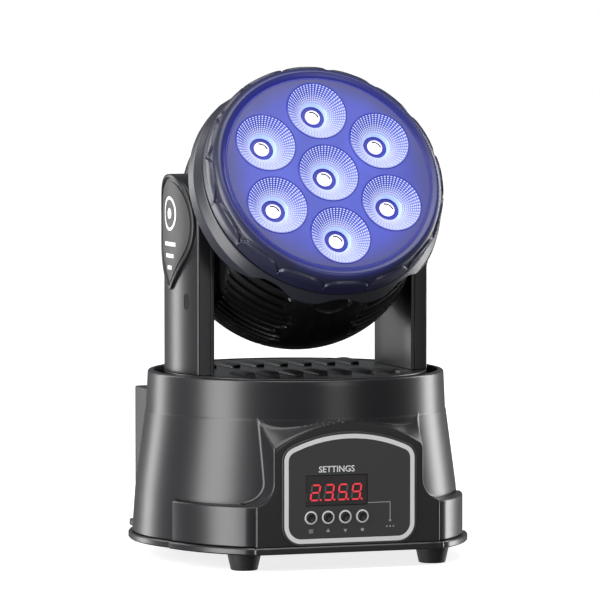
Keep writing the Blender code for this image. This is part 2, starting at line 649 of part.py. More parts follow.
def make_yoke(finishes, yoke):
    """Turntable, both arms, the pan shaft with its pulley and the tilt motor with its belt."""
    make_turntable(finishes, yoke)
    make_arm("right", ALONG_RIGHT, finishes, yoke)
    make_arm("left", ALONG_LEFT, finishes, yoke)
    top = TURNTABLE_LOW - GAP
    part("pan_shaft", turned([
        (PAN_SHAFT_BORE, 37 * MM), (PAN_SHAFT_RADIUS, 37 * MM), (PAN_SHAFT_RADIUS, top - 3 * MM),
        (22 * MM, top - 3 * MM), (22 * MM, top), (PAN_SHAFT_BORE, top),
    ]), finishes["steel"], yoke)
    bore = PAN_SHAFT_RADIUS + GAP
    part("pan_pulley", turned(pulley_profile(PAN_PULLEY_RADIUS, bore, *PAN_PULLEY_Z)), finishes["inner"],
         yoke)
    low, high = 39.8 * MM, 41.4 * MM
    part("pan_circlip", turned([(bore, low), (15 * MM, low), (15 * MM, high), (bore, high)]),
         finishes["steel"], yoke)

    half = TILT_MOTOR_SIDE / 2
    drive = (0, 0, TILT_MOTOR_Z)
    motor = part("tilt_motor", extruded(rounded_rectangle((2 * half, 2 * half), 3 * MM), 24 * MM, 52 * MM),
                 finishes["steel"], yoke, location=drive, rotation=ALONG_LEFT)
    combine(motor, turned([
        (0, 51 * MM), (10 * MM, 51 * MM), (10 * MM, 53.6 * MM), (MOTOR_SHAFT_RADIUS, 53.6 * MM),
        (MOTOR_SHAFT_RADIUS, TILT_PULLEY_X[1]), (0, TILT_PULLEY_X[1]),
    ], SMALL_ROUND), "UNION")
    upright = ((-53.8 * MM, -half, TILT_MOTOR_Z - half - 0.5 * MM), (-52.3 * MM, half, top))
    bracket = part("tilt_motor_bracket", boxes(upright), finishes["steel"], yoke)
    combine(bracket, boxes(((-53.0 * MM, -half, top - 1.5 * MM), (-24 * MM, half, top))), "UNION")
    combine(bracket, extruded(circle(10.3 * MM, SMALL_ROUND), 50 * MM, 56 * MM), "DIFFERENCE", location=drive,
            rotation=ALONG_LEFT)
    bore = MOTOR_SHAFT_RADIUS + GAP
    pulley = pulley_profile(TILT_MOTOR_PULLEY_RADIUS, bore, *TILT_PULLEY_X)
    part("tilt_motor_pulley", turned(pulley, SMALL_ROUND), finishes["aluminium"], yoke, location=drive,
         rotation=ALONG_LEFT)
    loop = belt(TILT_PULLEY_RADIUS + GAP, TILT_MOTOR_PULLEY_RADIUS + GAP, TILT_Z - TILT_MOTOR_Z, BELT_THICK,
                TILT_PULLEY_X[0] + 1.2 * MM, TILT_PULLEY_X[1] - 1.2 * MM)
    part("tilt_belt", loop, finishes["belt"], yoke, location=(0, 0, TILT_Z),
         rotation=(0, math.pi / 2, math.pi))


# --------------------------------------------------------------------- head

def make_bezel(finishes, head):
    """Rounded front bezel that holds the lens plate, and the deeper band behind it."""
    part("front_bezel", turned([
        (51.4 * MM, 52.2 * MM), (51.4 * MM, 54.2 * MM), (53.5 * MM, 54.2 * MM), (53.5 * MM, 57.0 * MM),
        (55.2 * MM, 56.8 * MM), (57.6 * MM, 57.6 * MM), (60.4 * MM, 55.8 * MM), (62.3 * MM, 50.6 * MM),
        (62.6 * MM, 44.1 * MM), (60.0 * MM, 44.1 * MM), (58.6 * MM, 50.2 * MM), (56.6 * MM, 52.2 * MM),
    ], BIG_ROUND), finishes["bezel"], head)
    ring = part("head_ring", turned([
        (60.0 * MM, 43.8 * MM), (62.8 * MM, 43.8 * MM), (65.8 * MM, 38.6 * MM), (67.0 * MM, 32.6 * MM),
        (66.6 * MM, RING_REAR), (30 * MM, RING_REAR), (30 * MM, RING_REAR + 2 * MM),
        (64.0 * MM, RING_REAR + 2 * MM), (63.4 * MM, 36.4 * MM), (60.0 * MM, 41.2 * MM),
    ], BIG_ROUND), finishes["bezel"], head)
    corner = math.acos((DOME_HALF_WIDTH + 0.4 * MM) / SOCKET_RADIUS)
    hole = arc((0.0, 0.0), SOCKET_RADIUS, corner, math.pi - corner, 14)
    hole += [(-x, -y) for x, y in hole]
    combine(ring, extruded(hole, 20 * MM, 40 * MM), "DIFFERENCE")


def make_rear_shell(finishes, head):
    """Hollow dome behind the ring, with a hole on each side for the tilt axle."""
    shell = part("rear_shell", ball(DOME_RADIUS), finishes["housing"], head)
    half = DOME_HALF_WIDTH
    far = 90 * MM
    combine(shell, boxes(((-half, -far, -far), (half, far, DOME_FRONT))), "INTERSECT")
    cavity = ball(DOME_RADIUS - DOME_WALL)
    combine(shell, cavity, "DIFFERENCE")
    room = shell.modifiers[-1].object
    inner = half - DOME_WALL
    combine(room, boxes(((-inner, -far, -far), (inner, far, far))), "INTERSECT")
    hole = extruded(circle(AXLE_RADIUS + GAP, SMALL_ROUND), -far, far)
    combine(shell, hole, "DIFFERENCE", rotation=(0, math.pi / 2, 0))


def ball(radius):
    """Sphere with its poles on Z."""
    half_turn = arc((0.0, 0.0), radius, -math.pi / 2, math.pi / 2, 12)
    return turned([(0, -radius)] + half_turn[1:-1] + [(0, radius)], 28)


def lens_places():
    """Middle of each lens on the plate: one in the centre and six on a ring, the first straight up."""
    places = [(0.0, 0.0)]
    for i in range(LENS_COUNT - 1):
        angle = math.pi / 2 + i * math.tau / (LENS_COUNT - 1)
        places.append((LENS_RING * math.cos(angle), LENS_RING * math.sin(angle)))
    return places


def make_optics(finishes, head):
    """Lens plate, seven lenses, the light source board and its heat sink."""
    plate = part("lens_plate", extruded(circle(PLATE_RADIUS, BIG_ROUND), FACE_Z - PLATE_THICK, FACE_Z),
                 finishes["bezel"], head)
    holes = bmesh.new()
    for place in lens_places():
        extruded(circle(LENS_RADIUS + GAP, LENS_ROUND, place), FACE_Z - 4 * MM, FACE_Z + 2 * MM, holes)
    combine(plate, holes, "DIFFERENCE")
    front = FACE_Z + 0.4 * MM
    well = LENS_WELL_RADIUS
    for i, (x, y) in enumerate(lens_places(), 1):
        lens = turned([
            (0, 41 * MM), (5.5 * MM, 41 * MM), (LENS_RADIUS, 52.4 * MM), (LENS_RADIUS, front),
            (well, front - 0.8 * MM), (well, front - LENS_WELL_DEPTH), (0, front - LENS_WELL_DEPTH),
        ], LENS_ROUND)
        part(f"lens_{i}", lens, finishes["lens"], head, location=(x, y, 0))

    low = 35.3 * MM
    top = low + BOARD_THICK
    board = part("led_board", extruded(circle(HEAT_SINK_RADIUS, ROUND), low, top), finishes["board"], head)
    half = 3.5 * MM
    emitters = [((x - half, y - half, top - 0.5 * MM), (x + half, y + half, top + 2.5 * MM))
                for x, y in lens_places()]
    combine(board, boxes(*emitters), "UNION")

    base = 29 * MM
    sink = part("heat_sink", extruded(circle(HEAT_SINK_RADIUS, ROUND), 12 * MM, 35 * MM),
                finishes["aluminium"], head)
    gaps = []
    for i in range(FIN_COUNT - 1):
        middle = (i - (FIN_COUNT - 2) / 2) * FIN_PITCH
        half = (FIN_PITCH - FIN_THICK) / 2
        gaps.append(((middle - half, -60 * MM, 10 * MM), (middle + half, 60 * MM, base)))
    combine(sink, boxes(*gaps), "DIFFERENCE")


def make_fan(finishes, head):
    """Cooling fan behind the heat sink: a square frame on three arms and a seven-blade rotor."""
    frame = part("fan_frame", extruded(rounded_rectangle((FAN_SIDE, FAN_SIDE), 3 * MM), FAN_LOW, FAN_HIGH),
                 finishes["inner"], head)
    floor = FAN_LOW + 1.6 * MM
    combine(frame, extruded(circle(FAN_SIDE / 2 - 1.6 * MM, ROUND), floor, FAN_HIGH + MM), "DIFFERENCE")
    vents = bmesh.new()
    for i in range(3):
        start = i * math.tau / 3 + 0.12
        end = (i + 1) * math.tau / 3 - 0.12
        outline = arc((0, 0), FAN_SIDE / 2 - 1.9 * MM, start, end, 12) + arc((0, 0), 9.5 * MM, end, start, 6)
        extruded(outline, FAN_LOW - MM, floor + MM, vents)
    combine(frame, vents, "DIFFERENCE")

    low = floor + GAP
    rotor = part("fan_rotor", turned([(0, low), (9 * MM, low), (9 * MM, FAN_HIGH - 1.5 * MM),
                                      (0, FAN_HIGH - 1.5 * MM)], SMALL_ROUND), finishes["inner"], head)
    blades = bmesh.new()
    pitch = 0.3
    for i in range(FAN_BLADES):
        angle = i * math.tau / FAN_BLADES
        tips = []
        for turn in (angle, angle + pitch):
            tips.append([(8.2 * MM * math.cos(turn), 8.2 * MM * math.sin(turn)),
                         (22.2 * MM * math.cos(turn), 22.2 * MM * math.sin(turn)),
                         (22.2 * MM * math.cos(turn + 0.06), 22.2 * MM * math.sin(turn + 0.06)),
                         (8.2 * MM * math.cos(turn + 0.15), 8.2 * MM * math.sin(turn + 0.15))])
        lofted(tips[0], low + MM, tips[1], FAN_HIGH - 2.5 * MM, blades)
    combine(rotor, blades, "UNION")


def make_axles(finishes, head):
    """Hollow flanged axle on each side, and the pulley that the tilt belt turns on the left one."""
    inner = DOME_HALF_WIDTH - DOME_WALL - GAP
    for side, turn, tip in (("left", -math.pi / 2, 63.0 * MM), ("right", math.pi / 2, 60.0 * MM)):
        part(f"{side}_tilt_axle", turned([
            (AXLE_BORE, inner - 1.8 * MM), (11.4 * MM, inner - 1.8 * MM), (11.4 * MM, inner),
            (AXLE_RADIUS, inner), (AXLE_RADIUS, tip), (AXLE_BORE, tip),
        ], ROUND), finishes["steel"], head, rotation=(0, turn, 0))
    pulley = pulley_profile(TILT_PULLEY_RADIUS, AXLE_RADIUS + GAP, *TILT_PULLEY_X)
    part("tilt_pulley", turned(pulley), finishes["inner"], head, rotation=(0, -math.pi / 2, 0))


def make_head(finishes, head):
    """Bezel, lenses, light source, heat sink, fan, rear shell and axles."""
    make_bezel(finishes, head)
    make_optics(finishes, head)
    make_rear_shell(finishes, head)
    make_fan(finishes, head)
    make_axles(finishes, head)


def main():
    for old in list(bpy.data.objects):
        bpy.data.objects.remove(old, do_unlink=True)
    finishes = make_materials()
    make_base(finishes)
    yoke = empty("pan_axis", (0, 0, 0))
    make_yoke(finishes, yoke)
    head = empty("tilt_axis", (0, 0, TILT_Z), (math.pi / 2 - REST_TILT, 0, 0), yoke)
    make_head(finishes, head)


main()
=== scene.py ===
"""Finished surfaces, finishes, lights and camera for a compact moving head wash light.

Lengths are in millimetres until a mesh is made. +Z is up and the front is -Y. Pieces of the head are worked
out in its own frame, whose origin is on the tilt axis and whose +Z is the beam, and are then laid in place.
"""

import json
import logging
import math
from dataclasses import dataclass, field
from enum import Enum
from typing import Optional, Sequence

import bmesh
import bpy
import numpy as np
from mathutils import Matrix, Vector
from numpy.typing import NDArray


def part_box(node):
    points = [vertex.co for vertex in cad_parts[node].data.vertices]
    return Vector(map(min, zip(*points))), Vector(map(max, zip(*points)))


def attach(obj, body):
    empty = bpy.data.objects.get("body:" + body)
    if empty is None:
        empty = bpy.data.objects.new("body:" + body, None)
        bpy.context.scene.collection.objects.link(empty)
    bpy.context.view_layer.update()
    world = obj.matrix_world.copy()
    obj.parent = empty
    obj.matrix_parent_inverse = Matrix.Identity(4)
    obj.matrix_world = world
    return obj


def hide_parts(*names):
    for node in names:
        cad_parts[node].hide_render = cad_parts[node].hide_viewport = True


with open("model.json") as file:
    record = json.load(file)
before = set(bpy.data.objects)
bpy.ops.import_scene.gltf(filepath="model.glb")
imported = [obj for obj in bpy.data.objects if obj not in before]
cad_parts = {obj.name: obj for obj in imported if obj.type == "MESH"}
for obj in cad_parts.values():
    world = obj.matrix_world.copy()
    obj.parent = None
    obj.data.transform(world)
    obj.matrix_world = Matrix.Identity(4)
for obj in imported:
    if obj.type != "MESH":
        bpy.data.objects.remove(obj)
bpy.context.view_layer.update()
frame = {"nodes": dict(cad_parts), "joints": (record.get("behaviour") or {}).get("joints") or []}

Points = NDArray[np.float64]
LOG = logging.getLogger("wash_light")
MM = 0.001
TAU = 2 * math.pi
WELD = 0.002
CREASE_ANGLE = math.radians(32.0)


# ------------------------------------------------------------------ numbers

def joint_point(name: str) -> Points:
    """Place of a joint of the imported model, in millimetres."""
    found = next(joint for joint in frame["joints"] if joint["name"] == name)
    return np.array(found["pos_m"]) / MM


def cad_box(node: str) -> tuple[Points, Points]:
    """Lowest and highest corner of a CAD node, in millimetres."""
    low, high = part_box(node)
    return np.array(low) / MM, np.array(high) / MM


def smooth_step(value: Points, low: float, high: float) -> Points:
    """Rise from 0 at low to 1 at high as 3t^2 - 2t^3."""
    t = np.clip((value - low) / (high - low), 0.0, 1.0)
    return t * t * (3 - 2 * t)


def soft_max(first: Points, second: Points, blend: float) -> Points:
    """Larger of two values, with the hollow between them filled.

    Formula: the larger value plus blend/4 times the square of their closeness, which is 1 where they are equal
    and 0 from blend apart.

    Args:
        first: One field of values.
        second: The other field.
        blend: Difference over which the two run together.

    Returns:
        The blended field.
    """
    near = np.clip(1 - np.abs(first - second) / blend, 0.0, 1.0)
    return np.maximum(first, second) + near**2 * blend / 4


def soft_min(first: Points, second: Points, blend: float) -> Points:
    """Smaller of two values, with the edge between them rounded off."""
    return -soft_max(-first, -second, blend)


def arc(centre: Sequence[float], radius: float, start: float, end: float, steps: int) -> Points:
    """Points on an arc: centre plus radius times (cos, sin) of evenly spaced angles, given in degrees."""
    angle = np.radians(np.linspace(start, end, steps + 1))
    return np.stack([centre[0] + radius * np.cos(angle), centre[1] + radius * np.sin(angle)], -1)


def rounded_box(half_width: float, half_height: float, corner: float, steps: int) -> Points:
    """Outline of a rectangle with rounded corners, about its own middle.

    Args:
        half_width: Half its width.
        half_height: Half its height.
        corner: Radius of the corners.
        steps: Parts that each corner is divided into.

    Returns:
        Closed outline, counter-clockwise.
    """
    quarters = ((1, 1, 0), (-1, 1, 90), (-1, -1, 180), (1, -1, 270))
    across, up = half_width - corner, half_height - corner
    return np.concatenate([arc((sx * across, sy * up), corner, start, start + 90, steps)
                           for sx, sy, start in quarters])


def eased(corners: Sequence[Sequence[float]], reach: float, steps: int = 5) -> Points:
    """Round the inner corners of an open line.

    Formula: each corner P1 becomes the parabola P0(1-t)^2 + 2 P1 t(1-t) + P2 t^2 between the points P0 and P2
    that lie reach before and after it, or 48% of the way to the next corner where that is nearer.

    Args:
        corners: Corner points of the line.
        reach: Distance from a corner at which its rounding starts.
        steps: Parts that each rounding is divided into.

    Returns:
        The rounded line's points.
    """
    line = np.asarray(corners, float)
    middle = line[1:-1]
    before, after = line[:-2] - middle, line[2:] - middle
    size_before = np.linalg.norm(before, axis=1, keepdims=True)
    size_after = np.linalg.norm(after, axis=1, keepdims=True)
    cut = np.minimum(reach, 0.48 * np.minimum(size_before, size_after))
    start, end = middle + before / size_before * cut, middle + after / size_after * cut
    t = np.linspace(0, 1, steps + 1)[None, :, None]
    bends = start[:, None] * (1 - t) ** 2 + 2 * middle[:, None] * t * (1 - t) + end[:, None] * t**2
    return np.concatenate([line[:1], bends.reshape(-1, line.shape[1]), line[-1:]])


def respaced(line: Points, count: int) -> Points:
    """Points at equal steps of length along a line, by straight interpolation between its own points.

    Args:
        line: Points of the line.
        count: Number of points wanted.

    Returns:
        The new points, with both ends kept.
    """
    run = np.concatenate([[0.0], np.cumsum(np.linalg.norm(np.diff(line, axis=0), axis=1))])
    wanted = np.linspace(0, run[-1], count)
    return np.stack([np.interp(wanted, run, line[:, axis]) for axis in range(line.shape[1])], -1)


def turned(profile: Points, columns: int) -> Points:
    """Turn a line of (radius, height) round Z: x = r cos a, y = r sin a, z = height, for each angle a.

    Args:
        profile: Points of the line.
        columns: Number of angles.

    Returns:
        A grid with one row to each point of the line.
    """
    angle = np.linspace(0, TAU, columns, endpoint=False)[None, :]
    radius, height = profile[:, :1], profile[:, 1:]
    return np.stack(np.broadcast_arrays(radius * np.cos(angle), radius * np.sin(angle), height), -1)


def facing(points: Points, azimuth: float, origin: Sequence[float] = (0.0, 0.0, 0.0)) -> Points:
    """Stand a flat-lying shape up: its x runs to the right, its y up and its z outwards at that azimuth.

    Args:
        points: Points whose last axis is (x, y, z) in the shape's own frame.
        azimuth: Way that the shape faces, in degrees: 0 is the front, -Y, and 180 the rear.
        origin: Place of the shape's own origin.

    Returns:
        The same points in the light's frame.
    """
    turn = math.radians(azimuth)
    right = np.array([math.cos(turn), math.sin(turn), 0.0])
    out = np.array([math.sin(turn), -math.cos(turn), 0.0])
    basis = np.stack([right, np.array([0.0, 0.0, 1.0]), out])
    return points @ basis + np.asarray(origin, float)


# ------------------------------------------------------------------- meshes

@dataclass(frozen=True)
class Skin:
    """A grid of points, and how its rows and columns join up."""

    points: Points
    wraps: bool = True
    closes: bool = False
    finish: int = 0
    rows_v: Optional[Points] = None

    def corners(self, first: int) -> NDArray[np.int64]:
        """Vertex numbers of every four-sided face.

        Args:
            first: Number of this grid's first vertex in the whole mesh.

        Returns:
            An array of four numbers a face.
        """
        rows, columns = self.points.shape[:2]
        numbers = np.arange(rows * columns).reshape(rows, columns) + first
        if self.wraps:
            numbers = np.concatenate([numbers, numbers[:, :1]], 1)
        if self.closes:
            numbers = np.concatenate([numbers, numbers[:1]], 0)
        quads = [numbers[:-1, :-1], numbers[:-1, 1:], numbers[1:, 1:], numbers[1:, :-1]]
        return np.stack(quads, -1).reshape(-1, 4)

    def flat_map(self) -> Points:
        """Flat map of each face corner: u is the fraction round the columns and v the fraction down the rows.

        Returns:
            An array of (u, v), four to a face.
        """
        rows, columns = self.points.shape[:2]
        across = np.arange(columns + (1 if self.wraps else 0)) / max(columns - (0 if self.wraps else 1), 1)
        down = np.linspace(0, 1, rows) if self.rows_v is None else self.rows_v
        if self.closes:
            down = np.append(down, down[:1])
        u, v = np.meshgrid(across, down)
        corners = [(u[:-1, :-1], v[:-1, :-1]), (u[:-1, 1:], v[:-1, 1:]), (u[1:, 1:], v[1:, 1:]),
                   (u[1:, :-1], v[1:, :-1])]
        return np.stack([np.stack(pair, -1) for pair in corners], 2).reshape(-1, 2)


def mesh_from(name: str, skins: Sequence[Skin]) -> bpy.types.Mesh:
    """One mesh of several grids, welded and with its faces pointing outwards.

    Args:
        name: Name of the mesh.
        skins: The grids, in millimetres.

    Returns:
        The mesh, in metres.
    """
    starts = np.cumsum([0] + [skin.points.shape[0] * skin.points.shape[1] for skin in skins])
    vertices = np.concatenate([skin.points.reshape(-1, 3) for skin in skins]) * MM
    groups = [skin.corners(int(start)) for skin, start in zip(skins, starts)]
    faces = np.concatenate(groups)
    mesh = bpy.data.meshes.new(name)
    mesh.vertices.add(len(vertices))
    mesh.vertices.foreach_set("co", vertices.astype(np.float32).ravel())
    mesh.loops.add(faces.size)
    mesh.loops.foreach_set("vertex_index", faces.astype(np.int32).ravel())
    mesh.polygons.add(len(faces))
    mesh.polygons.foreach_set("loop_start", np.arange(0, faces.size, 4, dtype=np.int32))
    numbers = np.concatenate([np.full(len(group), skin.finish) for skin, group in zip(skins, groups)])
    mesh.polygons.foreach_set("material_index", numbers.astype(np.int32))
    layer = mesh.uv_layers.new(name="UVMap")
    layer.data.foreach_set("uv", np.concatenate([skin.flat_map() for skin in skins]).astype(np.float32).ravel())
    mesh.update(calc_edges=True)
    welded = bmesh.new()
    welded.from_mesh(mesh)
    bmesh.ops.remove_doubles(welded, verts=welded.verts, dist=WELD * MM)
    bmesh.ops.dissolve_degenerate(welded, edges=welded.edges, dist=WELD * MM / 4)
    bmesh.ops.recalc_face_normals(welded, faces=welded.faces)
    welded.to_mesh(mesh)
    welded.free()
    return mesh


def smoothed(mesh: bpy.types.Mesh, crease: float = CREASE_ANGLE) -> None:
    """Shade a mesh smooth, with sharp edges where it folds by more than the crease angle."""
    mesh.shade_smooth()
    mesh.set_sharp_from_angle(angle=crease)


def carved(piece: bpy.types.Object, cutters: Sequence[bpy.types.Mesh]) -> None:
    """Cut shapes out of a piece and keep the result as its mesh.

    Args:
        piece: The piece that is cut.
        cutters: Closed meshes in the light's frame.
    """
    helpers = []
    for cutter in cutters:
        helper = bpy.data.objects.new("cutter", cutter)
        bpy.context.scene.collection.objects.link(helper)
        modifier = piece.modifiers.new("cut", "BOOLEAN")
        modifier.operation = "DIFFERENCE"
        modifier.solver = "EXACT"
        modifier.object = helper
        helpers.append(helper)
    graph = bpy.context.evaluated_depsgraph_get()
    cut = bpy.data.meshes.new_from_object(piece.evaluated_get(graph), depsgraph=graph)
    piece.modifiers.clear()
    piece.data = cut
    smoothed(cut)
    for helper in helpers:
        bpy.data.objects.remove(helper)


@dataclass(frozen=True)
class Place:
    """Where a new piece belongs: the body it moves with, its material slot and the CAD nodes it stands for."""

    body: str
    slot: str
    stands_for: tuple[str, ...] = ()


def add_piece(name: str, mesh: bpy.types.Mesh, finishes: Sequence[bpy.types.Material],
              place: Place) -> bpy.types.Object:
    """Make a mesh a finished piece of the light.

    Args:
        name: Name of the piece.
        mesh: Its mesh, in the light's frame.
        finishes: Materials for the mesh's material numbers.
        place: Its body, slot and CAD nodes.

    Returns:
        The new object.
    """
    for finish in finishes:
        mesh.materials.append(finish)
    smoothed(mesh)
    piece = bpy.data.objects.new(name, mesh)
    bpy.context.scene.collection.objects.link(piece)
    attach(piece, place.body)
    if place.stands_for:
        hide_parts(*place.stands_for)
    LOG.info("%s: %d faces on %s", name, len(mesh.polygons), place.body)
    return piece


def add_skins(name: str, skins: Sequence[Skin], finishes: Sequence[bpy.types.Material],
              place: Place) -> bpy.types.Object:
    """Make several grids one finished piece, as add_piece does with a mesh."""
    return add_piece(name, mesh_from(name, skins), finishes, place)


def plate(outline: Points, low: float, high: float, edge: float = 0.15) -> Skin:
    """Flat plate of a star-shaped outline.

    Formula: each ring is the outline drawn in towards its middle, c + s (p - c), so the plate runs from a point
    in the middle of its underside, out to the edge, up, and back to a point in the middle of its top.

    Args:
        outline: Closed outline of (x, y), without its first point again.
        low: Height of the underside.
        high: Height of the top.
        edge: Width of the small chamfer round the top.

    Returns:
        The plate as one grid.
    """
    middle = (outline.min(0) + outline.max(0)) / 2
    span = np.abs(outline - middle).max()
    scale = np.array([0.0, 1.0, 1.0, 1.0 - edge / span, 0.0])[:, None, None]
    flat = middle + scale * (outline - middle)
    heights = np.array([low, low, high - edge, high, high])[:, None]
    return Skin(np.concatenate([flat, np.broadcast_to(heights, flat.shape[:2])[..., None]], -1))


def ribbon(line: Points, width: float, low: float, high: float, ring: bool) -> Skin:
    """Printed line of even width.

    Formula: each point is pushed half the width to either side along the line's normal, which is its direction
    turned a quarter, and the two edges make a box-shaped band between two heights.

    Args:
        line: Points of (x, y) along the middle of the line.
        width: Width of the printed line.
        low: Height of its back.
        high: Height of its face.
        ring: Whether the line joins up with itself.

    Returns:
        The band as one grid.
    """
    if ring:
        along = np.roll(line, -1, 0) - np.roll(line, 1, 0)
    else:
        along = np.gradient(line, axis=0)
    along /= np.linalg.norm(along, axis=1, keepdims=True)
    normal = np.stack([-along[:, 1], along[:, 0]], -1) * width / 2
    sides = [(line - normal, low), (line + normal, low), (line + normal, high), (line - normal, high)]
    rows = np.stack([np.concatenate([side, np.full((len(line), 1), height)], -1) for side, height in sides])
    if not ring:
        ends = rows.mean(0)
        rows = np.concatenate([np.broadcast_to(ends[:1], (4, 3))[:, None], rows,
                               np.broadcast_to(ends[-1:], (4, 3))[:, None]], 1)
    return Skin(rows, wraps=ring, closes=True)


def prism(outline: Points, low: float, high: float) -> Skin:
    """Closed block of a star-shaped outline between two heights, as a plate with no chamfer."""
    return plate(outline, low, high, 0.0)


# ---------------------------------------------------------------- materials

def linear(code: str) -> tuple[float, float, float, float]:
    """Turn a six-digit sRGB hex colour to linear light: c/12.92 below 0.04045, else ((c+0.055)/1.055)^2.4.

    Args:
        code: The colour, with or without a leading #.

    Returns:
        Red, green and blue in linear light, and an alpha of 1.
    """
    parts = [int(code.lstrip("#")[i:i + 2], 16) / 255 for i in (0, 2, 4)]
    values = [c / 12.92 if c <= 0.04045 else ((c + 0.055) / 1.055) ** 2.4 for c in parts]
    return (*values, 1.0)


def add_node(tree: bpy.types.NodeTree, kind: str, settings: Optional[dict] = None,
             links: Optional[dict] = None) -> bpy.types.Node:
    """Add one node with its settings and links.

    Args:
        tree: Node tree of the material.
        kind: Blender's name of the node type.
        settings: Values by name: a property of the node, or else one of its input sockets.
        links: Output sockets by the input they feed, which is a name or a number.

    Returns:
        The node.
    """
    node = tree.nodes.new(kind)
    for key, value in (settings or {}).items():
        if isinstance(key, str) and hasattr(node, key):
            setattr(node, key, value)
        else:
            node.inputs[key].default_value = value
    for key, source in (links or {}).items():
        tree.links.new(source, node.inputs[key])
    return node


class Grain(Enum):
    """How a moulding tool or a mill leaves a surface."""

    SPARK_ERODED = "spark eroded"
    POLISHED = "polished"
    ROLLED = "rolled"


@dataclass(frozen=True)
class Finish:
    """A real material and the way its surface was made."""

    name: str
    colour: str
    roughness: float
    metallic: float = 0.0
    grain: Grain = Grain.SPARK_ERODED
    grain_mm: float = 0.45
    relief_mm: float = 0.012
    shade: float = 0.12
    coat: float = 0.0

    def dress(self) -> bpy.types.Material:
        """Build the node material.

        Returns:
            A material whose tone and gloss vary, with a relief at the grain's real scale unless it is polished.
        """
        made = bpy.data.materials.new(self.name)
        made.use_nodes = True
        tree = made.node_tree
        shader = tree.nodes["Principled BSDF"]
        shader.inputs["Metallic"].default_value = self.metallic
        shader.inputs["Coat Weight"].default_value = self.coat
        where = add_node(tree, "ShaderNodeTexCoord").outputs["Object"]
        if self.grain is Grain.ROLLED:
            drawn_out = add_node(tree, "ShaderNodeMapping", {"Scale": (1.0, 1.0, 0.04)}, {"Vector": where})
            where = drawn_out.outputs[0]
        fine = add_node(tree, "ShaderNodeTexNoise", {"Scale": 1 / (self.grain_mm * MM), "Detail": 3.0},
                        {"Vector": where}).outputs["Fac"]
        broad = add_node(tree, "ShaderNodeTexNoise", {"Scale": 1 / (38 * MM), "Detail": 4.0},
                         {"Vector": where}).outputs["Fac"]
        dark = tuple(c * (1 - self.shade) for c in linear(self.colour)[:3]) + (1.0,)
        light = tuple(min(c * (1 + self.shade), 1.0) for c in linear(self.colour)[:3]) + (1.0,)
        tone = add_node(tree, "ShaderNodeMix", {"data_type": "RGBA", 6: dark, 7: light}, {0: broad})
        tree.links.new(tone.outputs[2], shader.inputs["Base Color"])
        gloss = add_node(tree, "ShaderNodeMapRange", {3: self.roughness - 0.015, 4: self.roughness + 0.02},
                         {0: broad})
        tree.links.new(gloss.outputs[0], shader.inputs["Roughness"])
        if self.grain is not Grain.POLISHED:
            relief = add_node(tree, "ShaderNodeBump", {"Strength": 0.5, "Distance": self.relief_mm * MM},
                              {"Height": fine})
            tree.links.new(relief.outputs[0], shader.inputs["Normal"])
        self.detail(tree, shader, where)
        return made

    def detail(self, tree: bpy.types.NodeTree, shader: bpy.types.Node, where: bpy.types.NodeSocket) -> None:
        """Add what only this finish has; a plain finish adds nothing."""


@dataclass(frozen=True)
class LitPlate(Finish):
    """Thin coloured film in front of the light sources, lit from behind."""

    def detail(self, tree: bpy.types.NodeTree, shader: bpy.types.Node, where: bpy.types.NodeSocket) -> None:
        """Glow: strongest in the middle and between the lenses, falling to grey-violet at the rim.

        Args:
            tree: Node tree of the material.
            shader: Its main shader.
            where: Object coordinates.
        """
        flat = add_node(tree, "ShaderNodeUVMap", {"uv_map": "UVMap"}).outputs[0]
        reach = add_node(tree, "ShaderNodeSeparateXYZ", links={0: flat}).outputs["Y"]
        ramp = add_node(tree, "ShaderNodeValToRGB", links={0: reach})
        stops = ramp.color_ramp.elements
        stops[0].position, stops[0].color = 0.5, linear("4c5cd6")
        stops[1].position, stops[1].color = 1.0, linear("434585")
        middle = stops.new(0.82)
        middle.color = linear("4450c4")
        cloud = add_node(tree, "ShaderNodeTexNoise", {"Scale": 1 / (26 * MM), "Detail": 2.0}, {"Vector": where})
        power = add_node(tree, "ShaderNodeMapRange", {1: 0.3, 2: 0.7, 3: 0.72, 4: 1.0},
                         {0: cloud.outputs["Fac"]})
        tree.links.new(ramp.outputs[0], shader.inputs["Emission Color"])
        tree.links.new(power.outputs[0], shader.inputs["Emission Strength"])


@dataclass(frozen=True)
class SpillLip(Finish):
    """Black plastic next to the lit plate, which throws some of its light over it."""

    def detail(self, tree: bpy.types.NodeTree, shader: bpy.types.Node, where: bpy.types.NodeSocket) -> None:
        """Fade a blue glow out from the inner lip over the crest.

        Args:
            tree: Node tree of the material.
            shader: Its main shader.
            where: Object coordinates.
        """
        flat = add_node(tree, "ShaderNodeUVMap", {"uv_map": "UVMap"}).outputs[0]
        reach = add_node(tree, "ShaderNodeSeparateXYZ", links={0: flat}).outputs["Y"]
        cloud = add_node(tree, "ShaderNodeTexNoise", {"Scale": 1 / (45 * MM)}, {"Vector": where})
        far = add_node(tree, "ShaderNodeMapRange", {1: 0.3, 2: 0.7, 3: 0.42, 4: 0.6},
                       {0: cloud.outputs["Fac"]})
        fade = {"interpolation_type": "SMOOTHSTEP", 1: 0.15, 3: 0.34, 4: 0.015}
        fall = add_node(tree, "ShaderNodeMapRange", fade, {0: reach, 2: far.outputs[0]})
        shader.inputs["Emission Color"].default_value = linear("2a36d0")
        tree.links.new(fall.outputs[0], shader.inputs["Emission Strength"])


